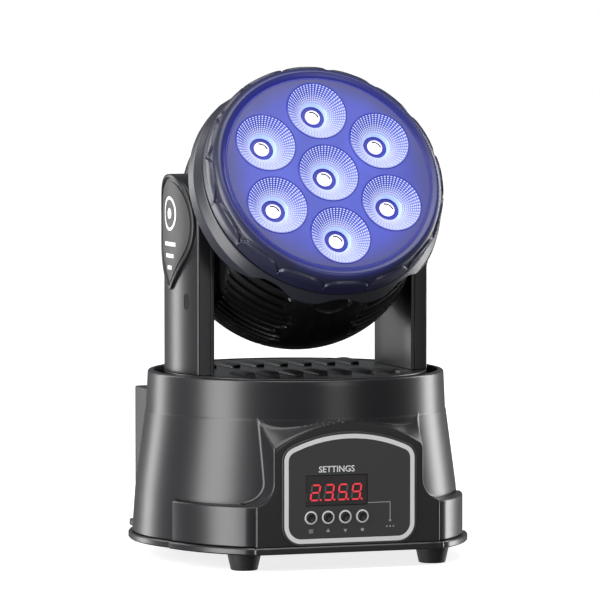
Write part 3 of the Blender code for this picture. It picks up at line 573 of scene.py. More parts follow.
@dataclass(frozen=True)
class FacetedLens(Finish):
    """Clear acrylic moulded with rings of small facets, lit by the source behind it."""

    sectors: int = 52
    rings: int = 9

    def detail(self, tree: bpy.types.NodeTree, shader: bpy.types.Node, where: bpy.types.NodeSocket) -> None:
        """Light each facet white in its middle and leave blue lines between the facets.

        Args:
            tree: Node tree of the material.
            shader: Its main shader.
            where: Object coordinates.
        """
        flat = add_node(tree, "ShaderNodeUVMap", {"uv_map": "UVMap"}).outputs[0]
        parts = add_node(tree, "ShaderNodeSeparateXYZ", links={0: flat})
        waves = []
        for axis, count in (("X", self.sectors), ("Y", self.rings)):
            turn = add_node(tree, "ShaderNodeMath", {"operation": "MULTIPLY", 1: count * TAU},
                            {0: parts.outputs[axis]})
            wave = add_node(tree, "ShaderNodeMath", {"operation": "COSINE"}, {0: turn.outputs[0]})
            waves.append(wave.outputs[0])
        radial = add_node(tree, "ShaderNodeMapRange", {1: -0.5, 2: 0.35, 3: 0.0, 4: 1.0}, {0: waves[0]})
        ring = add_node(tree, "ShaderNodeMapRange", {1: -0.25, 2: 0.5, 3: 0.0, 4: 1.0}, {0: waves[1]})
        lines = add_node(tree, "ShaderNodeMath", {"operation": "MAXIMUM"},
                         {0: radial.outputs[0], 1: ring.outputs[0]})
        # The upper half of each lens looks past its light source, so the lines between facets show more there.
        turn = add_node(tree, "ShaderNodeMath", {"operation": "MULTIPLY", 1: TAU}, {0: parts.outputs["X"]})
        side = add_node(tree, "ShaderNodeMath", {"operation": "SINE"}, {0: turn.outputs[0]})
        upper = add_node(tree, "ShaderNodeMapRange", {1: -0.9, 2: 0.3, 3: 0.5, 4: 1.0}, {0: side.outputs[0]})
        reach = add_node(tree, "ShaderNodeMapRange", {1: 0.0, 2: 0.5, 3: 0.6, 4: 1.0}, {0: parts.outputs["Y"]})
        amount = add_node(tree, "ShaderNodeMath", {"operation": "MULTIPLY"},
                          {0: upper.outputs[0], 1: reach.outputs[0]})
        mask = add_node(tree, "ShaderNodeMath", {"operation": "MULTIPLY"},
                        {0: lines.outputs[0], 1: amount.outputs[0]})
        glow = add_node(tree, "ShaderNodeMix", {"data_type": "RGBA", 6: linear("edf2ff"), 7: linear("2434a6")},
                        {0: mask.outputs[0]})
        tree.links.new(glow.outputs[2], shader.inputs["Emission Color"])
        shader.inputs["Emission Strength"].default_value = 0.95


@dataclass(frozen=True)
class Glow(Finish):
    """Plastic that glows in one even colour: lit from within, or as painted glow on the grooves and gaskets."""

    strength: float = 1.0

    def detail(self, tree: bpy.types.NodeTree, shader: bpy.types.Node, where: bpy.types.NodeSocket) -> None:
        """Light the whole surface, a little unevenly.

        Args:
            tree: Node tree of the material.
            shader: Its main shader.
            where: Object coordinates.
        """
        shader.inputs["Emission Color"].default_value = linear(self.colour)
        cloud = add_node(tree, "ShaderNodeTexNoise", {"Scale": 1 / (3 * MM)}, {"Vector": where})
        power = add_node(tree, "ShaderNodeMapRange", {3: self.strength * 0.85, 4: self.strength * 1.15},
                         {0: cloud.outputs["Fac"]})
        tree.links.new(power.outputs[0], shader.inputs["Emission Strength"])


class Finishes:
    """Every finish on the light, each named for its real material and how it was made."""

    def __init__(self) -> None:
        """Dress all the materials once."""
        # Injection-moulded ABS from a spark-eroded tool: near black, a soft broad sheen and a fine even grain.
        self.housing = Finish("moulded_abs_satin_black", "1c1c1e", 0.3).dress()
        # The head's ABS comes from a finer tool and is a little paler and cooler in tone.
        self.head = Finish("moulded_abs_head_black", "25262f", 0.34, relief_mm=0.006).dress()
        # The bezel is the same plastic, with the beam's blue light spilling over its inner lip as painted glow,
        # and its base colour tinted blue as painted reflection of that light.
        self.lip = SpillLip("moulded_abs_bezel_with_painted_blue_spill", "242534", 0.33, relief_mm=0.004).dress()
        # The dome and the inner parts: almost black, so that only their edges catch the light.
        self.inner = Finish("moulded_abs_deep_black", "0c0c0d", 0.27, relief_mm=0.008).dress()
        # Screen-printed polycarbonate film: dull dark grey with a very fine fleck.
        self.film = Finish("printed_polycarbonate_film", "363636", 0.45, grain_mm=0.3, relief_mm=0.004).dress()
        # White screen ink: flat and slightly warm.
        self.ink = Finish("screen_ink_white", "e9e9e6", 0.6, grain_mm=0.2, relief_mm=0.003, shade=0.03).dress()
        self.grey_ink = Finish("screen_ink_grey", "a8a8a8", 0.6, grain_mm=0.2, relief_mm=0.003).dress()
        # Smoked acrylic over the digits: dark, smooth and a little red.
        self.window = Finish("smoked_acrylic_window", "2c2727", 0.28, grain=Grain.POLISHED).dress()
        self.lit = Glow("lit_segment_epoxy_red", "cc3340", 0.3, grain=Grain.POLISHED, strength=0.8).dress()
        self.unlit = Finish("unlit_segment_epoxy_grey", "565852", 0.4, grain=Grain.POLISHED).dress()
        self.plate = LitPlate("backlit_polycarbonate_blue", "16163a", 0.35, grain=Grain.POLISHED).dress()
        self.lens = FacetedLens("moulded_acrylic_faceted", "38448c", 0.12, grain=Grain.POLISHED,
                                shade=0.03).dress()
        self.well = Glow("acrylic_well_lit", "9fb4f4", 0.12, grain=Grain.POLISHED, strength=0.85).dress()
        # Painted glow: a deep blue light of its own on the grooves at the bottom of the wells and on the gaskets
        # round the lenses and the plate.
        self.groove = Glow("acrylic_groove_painted_blue_glow", "161b80", 0.3, grain=Grain.POLISHED,
                           strength=0.7).dress()
        self.source = Glow("source_dome_white", "ece6f2", 0.1, grain=Grain.POLISHED, strength=0.82).dress()
        # Near black and dull: painted shade in the screw holes of the arms and the contact holes of the output
        # socket, and the dark bond line on each source dome.
        self.shadow_line = Finish("bond_black_and_painted_hole_shade", "050507", 0.85, grain=Grain.POLISHED).dress()
        # Moulded rubber foot: very dark, dull and coarser grained.
        self.rubber = Finish("moulded_rubber_black", "1b1b1b", 0.62, grain_mm=0.6, relief_mm=0.03).dress()
        # Zinc plated sheet and turned steel: cool grey metal with faint rolling lines.
        self.steel = Finish("zinc_plated_steel", "a9acb0", 0.34, 1.0, Grain.ROLLED, 0.5, 0.004).dress()
        # Painted steel plate behind the sockets: dark grey powder coat with slight orange peel.
        self.paint = Finish("powder_coat_grey", "4a4b4e", 0.42, grain_mm=1.2, relief_mm=0.03).dress()
        # Extruded aluminium: paler and softer than the steel.
        self.alloy = Finish("extruded_aluminium", "c6c8ca", 0.38, 1.0, Grain.ROLLED, 0.4, 0.004).dress()
        self.brass = Finish("turned_brass_contact", "c9a24e", 0.25, 1.0, Grain.ROLLED, 0.3, 0.002).dress()
        # Glass-epoxy circuit board under green solder mask.
        self.board = Finish("solder_mask_green", "1d5a34", 0.4, grain_mm=1.0, relief_mm=0.02,
                            shade=0.25).dress()
        self.belt = Finish("drive_belt_rubber", "191919", 0.7, grain_mm=0.8, relief_mm=0.03).dress()
        # Glass-filled nylon sockets: black, drier than the housing.
        self.socket = Finish("moulded_nylon_black", "19191b", 0.38, grain_mm=0.5, relief_mm=0.02).dress()
        # Dark grey vinyl label on the arm caps: dull, with a very fine fleck.
        self.label = Finish("printed_vinyl_grey", "333334", 0.5, grain_mm=0.3, relief_mm=0.003,
                            shade=0.06).dress()


# --------------------------------------------------------------------- base

@dataclass(frozen=True)
class RowPlan:
    """Rows of the base cover from bottom to top, one entry of each array for each row."""

    height: Points
    wing_inset: Points
    rear_inset: Points
    body_inset: Points
    notch: Points

    @classmethod
    def joined(cls, *parts: tuple) -> "RowPlan":
        """Join runs of rows.

        Args:
            parts: For each run its heights, its wing, rear and body insets and its notch; an inset that is
                not a number leaves that shape out.

        Returns:
            The whole plan.
        """
        columns = []
        for number in range(5):
            runs = [np.broadcast_to(np.asarray(part[number], float), np.shape(np.atleast_1d(part[0])))
                    for part in parts]
            columns.append(np.concatenate(runs))
        return cls(*columns)


@dataclass
class BaseCover:
    """Round tapered cover with two front wings, an arched control block and a square rear block."""

    finishes: Finishes
    low: float = 12.5
    heights: tuple = (12.5, 36.0, 74.9, 75.4, 95.0)
    radii: tuple = (84.0, 82.3, 77.1, 76.8, 75.9)
    wing_top: float = 32.8
    rear_top: float = 82.0
    face: float = 79.1
    wing_radius: float = 80.0
    wing_centre: float = 16.0
    wing_start: float = 23.0
    rear_half: float = 61.0
    block_half: float = 39.9
    block_back_half: float = 42.5
    block_back: float = 64.2
    shoulder: float = 61.0
    apex: float = 74.6
    crease: float = 75.0
    foot_flare: float = 12.0
    inner_radius: float = 70.0
    opening: float = 73.0
    top: float = 95.0
    rim_round: float = 1.2
    off: float = float("nan")
    angles: Points = field(init=False)

    def __post_init__(self) -> None:
        """Space the columns: close together over the control block and at corners, wider elsewhere."""
        end, edge = self.wing_start, 0.12
        runs = [np.arange(-end + edge, 36, 1.5), np.arange(36, 60, 0.5), np.arange(60, 120, 1.5),
                np.arange(120, 144, 0.5), np.arange(144, 180 + end - edge, 1.5), [180 + end - edge],
                [180 + end + edge], np.arange(204, 234, 0.6), np.arange(234, 306, 0.3),
                np.arange(306, 336.5, 0.6), [360 - end - edge]]
        self.angles = np.radians(np.concatenate(runs))

    def block_radius(self, angle: Points, height: Points) -> Points:
        """Reach of the control block in each direction and at each height.

        Formula: the block's sides spread from the face back to the crease and flare in a hollow quarter circle
        above the wings; its top is the arch at the face, running back straight to the crease. Each is solved
        for the distance from the axis, and the smallest is taken with its edges rounded.

        Args:
            angle: Directions, one to a column.
            height: Heights, one to a row.

        Returns:
            The distance from the axis on the whole grid.
        """
        side, ahead = np.abs(np.cos(angle)), np.abs(np.sin(angle)) + 1e-6
        depth = self.face - self.block_back
        spread = (self.block_back_half - self.block_half) / depth
        rise = np.clip(self.wing_top + self.foot_flare - height, 0, self.foot_flare * 0.97)
        flare = self.foot_flare - np.sqrt(self.foot_flare**2 - rise**2)
        to_side = (self.block_half + spread * self.face + flare) / (side + spread * ahead)
        arch = (self.block_half**2 + (self.apex - self.shoulder) ** 2) / (2 * (self.apex - self.shoulder))
        reach = np.full(np.broadcast_shapes(side.shape, height.shape), self.face)
        for _ in range(6):
            across = np.minimum(reach / ahead * side, arch - 1)
            crown = self.apex - arch + np.sqrt(arch**2 - across**2)
            slope = (height - crown) / np.maximum(self.crease - crown, 0.15)
            back = np.minimum(soft_max(slope, np.zeros_like(slope), 0.12), 2.2)
            reach = self.face - depth * back
        block = soft_min(to_side, reach / ahead, 1.3)
        return np.where(np.sin(angle) < 0, np.minimum(block, self.face / ahead), 0.0)

    def outline(self, angle: Points, rows: RowPlan, grow: float = 0.0) -> Points:
        """Distance of the cover from the axis: the largest of body, wings, control block and rear block.

        Args:
            angle: Directions, one to a column.
            rows: Heights and what is present at each.
            grow: Distance that everything is grown by.

        Returns:
            The distance on the whole grid.
        """
        side, ahead = np.abs(np.cos(angle)) + 1e-6, np.abs(np.sin(angle)) + 1e-6
        height = rows.height[:, None]
        flat = (self.face + grow) / ahead
        front = np.sin(angle) < -math.sin(math.radians(self.wing_start))
        inset = rows.body_inset[:, None] + np.where(front, rows.notch[:, None], 0.0)
        body = np.interp(height, self.heights, self.radii) + grow - inset
        bow = (self.wing_radius + grow) ** 2 - (self.wing_centre * side) ** 2
        wing = soft_min(self.wing_centre * ahead + np.sqrt(bow), flat, 5.0) - rows.wing_inset[:, None]
        wing = np.where(front & ~np.isnan(wing), wing, 0.0)
        rear = soft_min((self.rear_half + grow) / side, flat, 3.0) - rows.rear_inset[:, None]
        rear = np.where((np.sin(angle) > 0) & ~np.isnan(rear), rear, 0.0)
        block = self.block_radius(angle, height) + grow
        made = np.minimum(soft_max(body, block, 1.4), flat)
        made = soft_max(made, rear, 0.8)
        return np.maximum(made, wing)

    def rows(self) -> RowPlan:
        """Rows of the cover, closer together over the arch, with pairs at the two horizontal ledges.

        Returns:
            The plan, from the bottom edge to the rim.
        """
        off = self.off
        ledge = np.array([0.0, 0.35, 0.65, 0.88, 1.0])
        inset = 1 - np.sqrt(1 - ledge**2)
        return RowPlan.joined(
            (self.low + 0.3 * ledge, inset[::-1] * 0.3, inset[::-1] * 0.3, inset[::-1] * 0.3, 0),
            ([13.2], 0, 0, 0, 0),
            (np.arange(13.7, 31.5, 0.8), 0, 0, 0, 0),
            (self.wing_top - 1 + ledge, inset, 0, 0, 0),
            (self.wing_top + np.array([0.0, 0.01, 0.75, 0.8]), off, 0, 0, [-1.0, 0.9, 0.9, 0.0]),
            (np.arange(34.0, 76.2, 0.45), off, 0, 0, 0),
            (np.arange(76.5, 80.9, 0.9), off, 0, 0, 0),
            (self.rear_top - 1 + ledge, off, inset, 0, 0),
            ([self.rear_top + 0.02], off, off, 0, 0),
            (np.arange(83.5, 93.5, 2.0), off, off, 0, 0),
            (self.top - self.rim_round * (1 - ledge), off, off, inset * self.rim_round, 0),
        )

    def shell(self) -> Skin:
        """Cover with its wall: up the outside, over the rim, down the inside and back under.

        Returns:
            One closed grid.
        """
        rows = self.rows()
        reach = self.outline(self.angles[None, :], rows)
        inside = np.full((1, len(self.angles)), 1.0)
        inner = [(self.opening, self.top), (self.opening, 94.2), (self.opening, 80.0),
                 (self.inner_radius, 78.0), (self.inner_radius, self.low)]
        reach = np.concatenate([reach] + [inside * radius for radius, _ in inner])
        height = np.concatenate([rows.height, [z for _, z in inner]])[:, None]
        angle = self.angles[None, :]
        grid = np.stack(np.broadcast_arrays(reach * np.cos(angle), reach * np.sin(angle), height), -1)
        return Skin(grid, closes=True)

    def tray(self) -> Skin:
        """Bottom plate: the same footprint grown by its lip, with rounded edges.

        Returns:
            One closed grid.
        """
        low, high, edge = 8.7, 12.2, 0.6
        ledge = np.array([1.0, 0.7, 0.35, 0.0])
        angle = self.angles[None, :]
        drawn = np.concatenate([ledge, ledge[::-1]])[:, None] * edge
        reach = self.outline(angle, RowPlan.joined((np.full(8, 20.0), 0, 0, 0, 0)), 2.5) - drawn
        middle = np.zeros_like(reach[:1])
        reach = np.concatenate([middle, reach, middle])
        height = np.concatenate([[low], low + edge * (1 - ledge), high - edge * (1 - ledge[::-1]), [high]])
        grid = np.stack(np.broadcast_arrays(reach * np.cos(angle), reach * np.sin(angle), height[:, None]), -1)
        return Skin(grid)

    def build(self, cutters: Sequence[bpy.types.Mesh], window: bpy.types.Mesh) -> None:
        """Make the cover and the bottom plate.

        Args:
            cutters: Shapes of the display window and the button holes.
            window: Shape of the opening for the rear sockets.
        """
        mesh = mesh_from("base_cover", [self.shell()])
        place = Place("base", "housing", ("base_shell",))
        cover = add_piece("base_cover", mesh, [self.finishes.housing], place)
        carved(cover, [*cutters, window])
        tray = mesh_from("base_tray", [self.tray()])
        add_piece("base_tray", tray, [self.finishes.housing], Place("base", "housing", ("bottom_plate",)))


@dataclass
class Feet:
    """Four tapered rubber feet with a recess for the screw."""

    finishes: Finishes
    columns: int = 64

    def build(self) -> None:
        """Turn each foot on the middle of its CAD node."""
        side = eased([(0, 1.6), (2.6, 1.6), (2.9, 0.0), (6.7, 0.0), (8.6, 8.4), (0, 8.4)], 0.7, 4)
        grid = turned(side, self.columns)
        for number in range(1, 5):
            low, high = cad_box(f"foot_{number}")
            centre = (low + high) / 2
            placed = grid + np.array([centre[0], centre[1], 0.0])
            name = f"foot_{number}"
            add_skins(f"rubber_{name}", [Skin(placed)], [self.finishes.rubber],
                      Place("base", "foot_rubber", (name,)))


class Segment(Enum):
    """Bars of a numeral, each given by its two ends on a grid one wide and two high."""

    TOP = ((0, 2), (1, 2))
    TOP_RIGHT = ((1, 2), (1, 1))
    LOW_RIGHT = ((1, 1), (1, 0))
    BOTTOM = ((0, 0), (1, 0))
    LOW_LEFT = ((0, 1), (0, 0))
    TOP_LEFT = ((0, 2), (0, 1))
    MIDDLE = ((0, 1), (1, 1))


NUMERALS = {
    2: (Segment.TOP, Segment.TOP_RIGHT, Segment.MIDDLE, Segment.LOW_LEFT, Segment.BOTTOM),
    3: (Segment.TOP, Segment.TOP_RIGHT, Segment.MIDDLE, Segment.LOW_RIGHT, Segment.BOTTOM),
    5: (Segment.TOP, Segment.TOP_LEFT, Segment.MIDDLE, Segment.LOW_RIGHT, Segment.BOTTOM),
    9: (Segment.TOP, Segment.TOP_RIGHT, Segment.TOP_LEFT, Segment.MIDDLE, Segment.LOW_RIGHT, Segment.BOTTOM),
}


@dataclass
class ControlPanel:
    """Printed film with its white border, heading, display, four buttons and plain symbols below them."""

    finishes: Finishes
    shown: tuple = (2, 3, 5, 9)
    symbol_height: float = 19.8
    symbol_half: float = 1.15
    digit_width: float = 4.3
    digit_height: float = 7.6
    digit_pitch: float = 7.3
    slant: float = 0.14
    bar: float = 0.85

    def __post_init__(self) -> None:
        """Read the panel's places from the CAD model."""
        low, high = cad_box("control_panel")
        self.back, self.face = -high[1], -low[1]
        low, high = cad_box("display_module")
        self.window = ((low + high) / 2)[[0, 2]]
        self.window_size = (high - low)[[0, 2]]
        boxes = [cad_box(f"button_{i}") for i in range(1, 5)]
        self.buttons = [((low + high) / 2)[[0, 2]] for low, high in boxes]
        self.button_tip = -boxes[0][0][1]
        self.button_radius = 2.2

    def border(self, grow: float) -> Points:
        """Middle of the white border, moved outwards: four corner arcs and a broad arch over the top.

        Args:
            grow: Distance outwards from the middle of the printed border.

        Returns:
            Closed outline of (x, z), counter-clockwise.
        """
        half, low, apex, crown, corner, top = 33.65, 14.8, 67.1, 73.8, 7.8, 5.9
        centre = apex - crown
        across = half - top
        shoulder = centre + math.sqrt((crown - top) ** 2 - across**2)
        turn = math.degrees(math.atan2(shoulder - centre, across))
        runs = [arc((half - corner, low + corner), corner + grow, -90, 0, 10),
                arc((across, shoulder), top + grow, 0, turn, 8),
                arc((0, centre), crown + grow, turn, 180 - turn, 40),
                arc((-across, shoulder), top + grow, 180 - turn, 180, 8),
                arc((corner - half, low + corner), corner + grow, 180, 270, 10)]
        return np.concatenate(runs)

    def cutters(self, clearance: float = 0.3) -> list[bpy.types.Mesh]:
        """Shapes of the display window and the four button holes, right through the front.

        Args:
            clearance: Gap left round each.

        Returns:
            One closed mesh for each hole.
        """
        width, height = self.window_size / 2 + clearance
        corners = np.array([(-width, -height), (width, -height), (width, height), (-width, height)])
        corners = corners + self.window
        shapes = [corners] + [arc(place, self.button_radius + clearance, 0, 350, 35) for place in self.buttons]
        return [mesh_from("cutter", [Skin(facing(prism(shape, 55.0, 90.0).points, 0))]) for shape in shapes]

    def digits(self) -> tuple[list[Skin], list[Skin]]:
        """Bars of all four numerals and their points, lit and unlit.

        Formula: a bar is a six-sided plate between its two ends, pointed at both; the whole numeral leans by
        adding slant times the height to x.

        Returns:
            The lit plates and the unlit plates.
        """
        lit, unlit = [], []
        centre = self.window + np.array([-0.25, -1.0])
        for number, value in enumerate(self.shown):
            left = centre[0] + (number - 1.5) * self.digit_pitch - self.digit_width / 2 - 0.7
            base = centre[1] - self.digit_height / 2
            for segment in Segment:
                scale = np.array([self.digit_width, self.digit_height / 2])
                start, end = (np.array(point) * scale for point in segment.value)
                along = (end - start) / np.linalg.norm(end - start)
                normal = np.array([-along[1], along[0]]) * self.bar / 2
                first, last = start + along * 0.22, end - along * 0.22
                tip = along * self.bar / 2
                shape = np.array([first, first + tip - normal, last - tip - normal, last, last - tip + normal,
                                  first + tip + normal])
                shape[:, 0] += self.slant * shape[:, 1]
                shape += (left, base)
                group = lit if segment in NUMERALS[value] else unlit
                group.append(Skin(facing(prism(shape, self.face - 0.1, self.face + 0.08).points, 0)))
            dot = arc((left + self.digit_width + 1.15, base + 0.1), 0.55, 0, 330, 11)
            lit.append(Skin(facing(prism(dot, self.face - 0.1, self.face + 0.08).points, 0)))
        return lit, unlit

    def heading(self) -> None:
        """Print the heading over the display in a standard sans letter."""
        low, high = self.face - 0.02, self.face + 0.06
        curve = bpy.data.curves.new("heading", "FONT")
        curve.body = "SETTINGS"
        curve.size = 4.4 * MM
        curve.align_x = "CENTER"
        curve.extrude = (high - low) / 2 * MM
        curve.offset = 0.06 * MM
        curve.resolution_u = 3
        helper = bpy.data.objects.new("heading", curve)
        bpy.context.scene.collection.objects.link(helper)
        graph = bpy.context.evaluated_depsgraph_get()
        mesh = bpy.data.meshes.new_from_object(helper.evaluated_get(graph), depsgraph=graph)
        bpy.data.objects.remove(helper)
        mesh.name = "printed_heading"
        stand = Vector((self.window[0], -(low + high) / 2, 49.3)) * MM
        mesh.transform(Matrix.Translation(stand) @ Matrix.Rotation(math.pi / 2, 4, "X"))
        mesh.materials.clear()
        add_piece("printed_heading", mesh, [self.finishes.ink], Place("base", "panel_film"))

    def symbols(self) -> list[Skin]:
        """Plain printed symbols: three bars, two arrowheads and a disc below the buttons, and a row of dots.

        Formula: an arrowhead is the triangle of three points a third of a turn apart on one circle.

        Returns:
            One flat plate for each stroke.
        """
        half, height = self.symbol_half, self.symbol_height
        bar = np.array([(-half, -0.18), (half, -0.18), (half, 0.18), (-half, 0.18)])
        shapes = [bar + (self.buttons[0][0], height + step) for step in (-0.75, 0.0, 0.75)]
        shapes.append(arc((self.buttons[1][0], height), half, 90, 330, 2))
        shapes.append(arc((self.buttons[2][0], height), half, 270, 510, 2))
        shapes.append(arc((self.buttons[3][0], height), 0.85, 0, 330, 11))
        shapes += [arc((x, height + 1.2), 0.42, 0, 330, 11) for x in (19.9, 21.7, 23.5)]
        return [prism(shape, self.face - 0.02, self.face + 0.06) for shape in shapes]

    def build(self) -> None:
        """Make the film, prints, display and buttons."""
        film = plate(self.border(2.3), self.back + 0.02, self.face)
        piece = add_skins("panel_film", [Skin(facing(film.points, 0))], [self.finishes.film],
                          Place("base", "panel_film", ("control_panel",)))
        carved(piece, self.cutters(0.25))
        prints = [ribbon(self.border(0.0), 2.25, self.face - 0.02, self.face + 0.08, True)]
        prints += [ribbon(arc(place, 2.95, 0, 354, 59), 0.8, self.face - 0.02, self.face + 0.08, True)
                   for place in self.buttons]
        lead = np.array([(9.8, 33.3), (21.7, 33.3), (21.7, 24.0)])
        thin = [ribbon(respaced(lead[:2], 4), 0.35, self.face - 0.02, self.face + 0.06, False),
                ribbon(respaced(lead[1:], 4), 0.35, self.face - 0.02, self.face + 0.06, False),
                prism(arc(lead[2], 0.6, 0, 330, 11), self.face - 0.02, self.face + 0.06)]
        for name, group, ink in (("printed_border", prints, self.finishes.ink),
                                 ("printed_leader", thin, self.finishes.grey_ink),
                                 ("printed_symbols", self.symbols(), self.finishes.grey_ink)):
            stood = [Skin(facing(skin.points, 0), skin.wraps, skin.closes) for skin in group]
            add_skins(name, stood, [ink], Place("base", "panel_film"))
        width, height = self.window_size / 2
        glass = plate(rounded_box(width, height, 0.6, 4) + self.window, 71.6, self.face - 0.1, 0.2)
        add_skins("display_window", [Skin(facing(glass.points, 0))],
                  [self.finishes.window], Place("base", "display", ("display_module",)))
        lit, unlit = self.digits()
        add_skins("display_digits", lit, [self.finishes.lit], Place("base", "display"))
        add_skins("display_unlit_bars", unlit, [self.finishes.unlit],
                  Place("base", "display"))
        self.heading()
        self.build_buttons()

    def build_buttons(self) -> None:
        """Turn each push button: a rounded cap with a dished top and a collar behind the panel."""
        tip = self.button_tip
        side = eased([(0, tip - 8.4), (1.6, tip - 8.4), (1.6, tip - 6.2), (3.1, tip - 6.2), (3.1, tip - 5.2),
                      (2.15, tip - 5.2), (2.15, tip), (1.5, tip), (1.0, tip - 0.35), (0, tip - 0.35)], 0.35, 4)
        for number, place in enumerate(self.buttons, 1):
            grid = turned(side, 40) + np.array([place[0], place[1], 0.0])
            name = f"push_button_{number}"
            add_skins(name, [Skin(facing(grid, 0))], [self.finishes.socket],
                      Place(f"button_{number}", "inner_plastic", (f"button_{number}",)))


@dataclass
class RearSockets:
    """Painted plate with a mains inlet, a round signal input with pins and a round output whose contact holes
    are black discs of painted shade.
    """

    finishes: Finishes
    window: tuple = (96.0, 53.0)
    window_height: float = 46.5
    face: float = 78.3

    def opening(self) -> bpy.types.Mesh:
        """Shape of the opening in the base cover.

        Returns:
            A closed mesh that reaches right through the rear wall.
        """
        shape = rounded_box(self.window[0] / 2, self.window[1] / 2, 3.0, 6) + (0.0, self.window_height)
        return mesh_from("cutter", [Skin(facing(prism(shape, 55.0, 90.0).points, 180))])

    def flange(self, half_width: float, half_height: float, mouth: Points, depth: float) -> Points:
        """Socket body with its mouth.

        Formula: rings run from the mouth's floor out over the mouth's lip and the flange's face to the flange's
        back; between mouth and flange the ring is drawn from one outline to the other.

        Args:
            half_width: Half the width of the flange.
            half_height: Half its height.
            mouth: Outline of the mouth, with as many points as the flange's outline.
            depth: Depth of the mouth.

        Returns:
            A grid whose first row is the middle of the floor and whose last is the middle of the back.
        """
        count = len(mouth)
        angle = np.arctan2(mouth[:, 1], mouth[:, 0])
        power = 7.0
        size = (np.abs(np.cos(angle) / half_width) ** power + np.abs(np.sin(angle) / half_height) ** power)
        outer = np.stack([np.cos(angle), np.sin(angle)], -1) * size[:, None] ** (-1 / power)
        top, back = self.face, self.face - 2.3
        rings = [(mouth * 0, top - depth), (mouth * 0.98, top - depth), (mouth, top - depth + 0.4),
                 (mouth, top - 0.5), (mouth * 1.03, top), (outer * 0.96, top), (outer, top - 0.6),
                 (outer, back), (outer * 0, back)]
        return np.stack([np.concatenate([ring, np.full((count, 1), height)], -1) for ring, height in rings])

    def build(self) -> None:
        """Make the sockets on the places of their CAD nodes."""
        circle = arc((0, 0), 9.3, 0, 354, 59)
        half_w, half_h, cut = 12.0, 8.25, 4.0
        corners = [(-half_w, 0), (-half_w, -half_h), (half_w, -half_h), (half_w, half_h - cut),
                   (half_w - cut, half_h), (cut - half_w, half_h), (-half_w, half_h - cut), (-half_w, 0)]
        inlet = respaced(eased(corners, 0.6), 61)[:-1]
        plan = [("power_inlet", "mains_inlet", inlet, 15.5, 12.0, 14.5),
                ("dmx_input_socket", "signal_input", circle, 12.75, 14.5, 14.0),
                ("dmx_output_socket", "signal_output", circle, 12.75, 14.5, 14.0)]
        for node, name, mouth, wide, tall, depth in plan:
            low, high = cad_box(node)
            place = ((low + high) / 2)[[0, 2]]
            shell = self.flange(wide, tall, mouth, depth)
            at = (place[0], 0.0, place[1])
            skins = [Skin(facing(shell, 180, at))]
            if name == "signal_output":
                insert = eased([(0, self.face - 13.9), (7.6, self.face - 13.9), (7.6, self.face - 1.0),
                                (0, self.face - 1.0)], 0.4)
                skins.append(Skin(facing(turned(insert, 40), 180, at)))
            add_skins(name, skins, [self.finishes.socket], Place("base", "socket_nylon", (node,)))
            self.contacts(name, at)
            self.screws(name, at, wide, tall)

    def contacts(self, name: str, at: tuple) -> None:
        """Pins of a socket, or for the output black discs in its contact holes, painted shade of the holes.

        Args:
            name: Name of the socket.
            at: Its middle on the rear face.
        """
        skins = []
        if name == "mains_inlet":
            for x, y in ((-7.0, -1.5), (0.0, 2.5), (7.0, -1.5)):
                blade = np.array([(-1.0, -2.0), (1.0, -2.0), (1.0, 2.0), (-1.0, 2.0)]) + (x, y)
                skins.append(Skin(facing(prism(blade, self.face - 14.5, self.face - 4.0).points, 180, at)))
        else:
            for turn in (90, 210, 330):
                x, y = 4.6 * math.cos(math.radians(turn)), -4.6 * math.sin(math.radians(turn))
                low, high = self.face - 14, self.face - 4
                if name == "signal_output":
                    low, high = self.face - 2, self.face - 0.9
                pin = eased([(0, low), (1.2, low), (1.2, high), (0, high)], 0.5)
                skins.append(Skin(facing(turned(pin, 16) + np.array([x, y, 0.0]), 180, at)))
        # The output's discs are black: painted shade for its contact holes.
        finish = self.finishes.shadow_line if name == "signal_output" else self.finishes.brass
        add_skins(f"{name}_contacts", skins, [finish], Place("base", "steel"))

    def screws(self, name: str, at: tuple, wide: float, tall: float) -> None:
        """Two pan-head screws on opposite corners of a flange.

        Args:
            name: Name of the socket.
            at: Its middle on the rear face.
            wide: Half the width of the flange.
            tall: Half its height.
        """
        face = self.face
        head = eased([(0, face - 0.3), (1.7, face - 0.3), (1.6, face + 0.5), (0.7, face + 0.75),
                      (0.6, face + 0.2), (0, face + 0.2)], 0.3)
        corner = np.array([wide - 2.4, tall - 2.2, 0.0])
        skins = [Skin(facing(turned(head, 20) + corner * (sx, -sx, 0), 180, at)) for sx in (-1, 1)]
        add_skins(f"{name}_screws", skins, [self.finishes.steel], Place("base", "steel"))


# --------------------------------------------------------------------- yoke

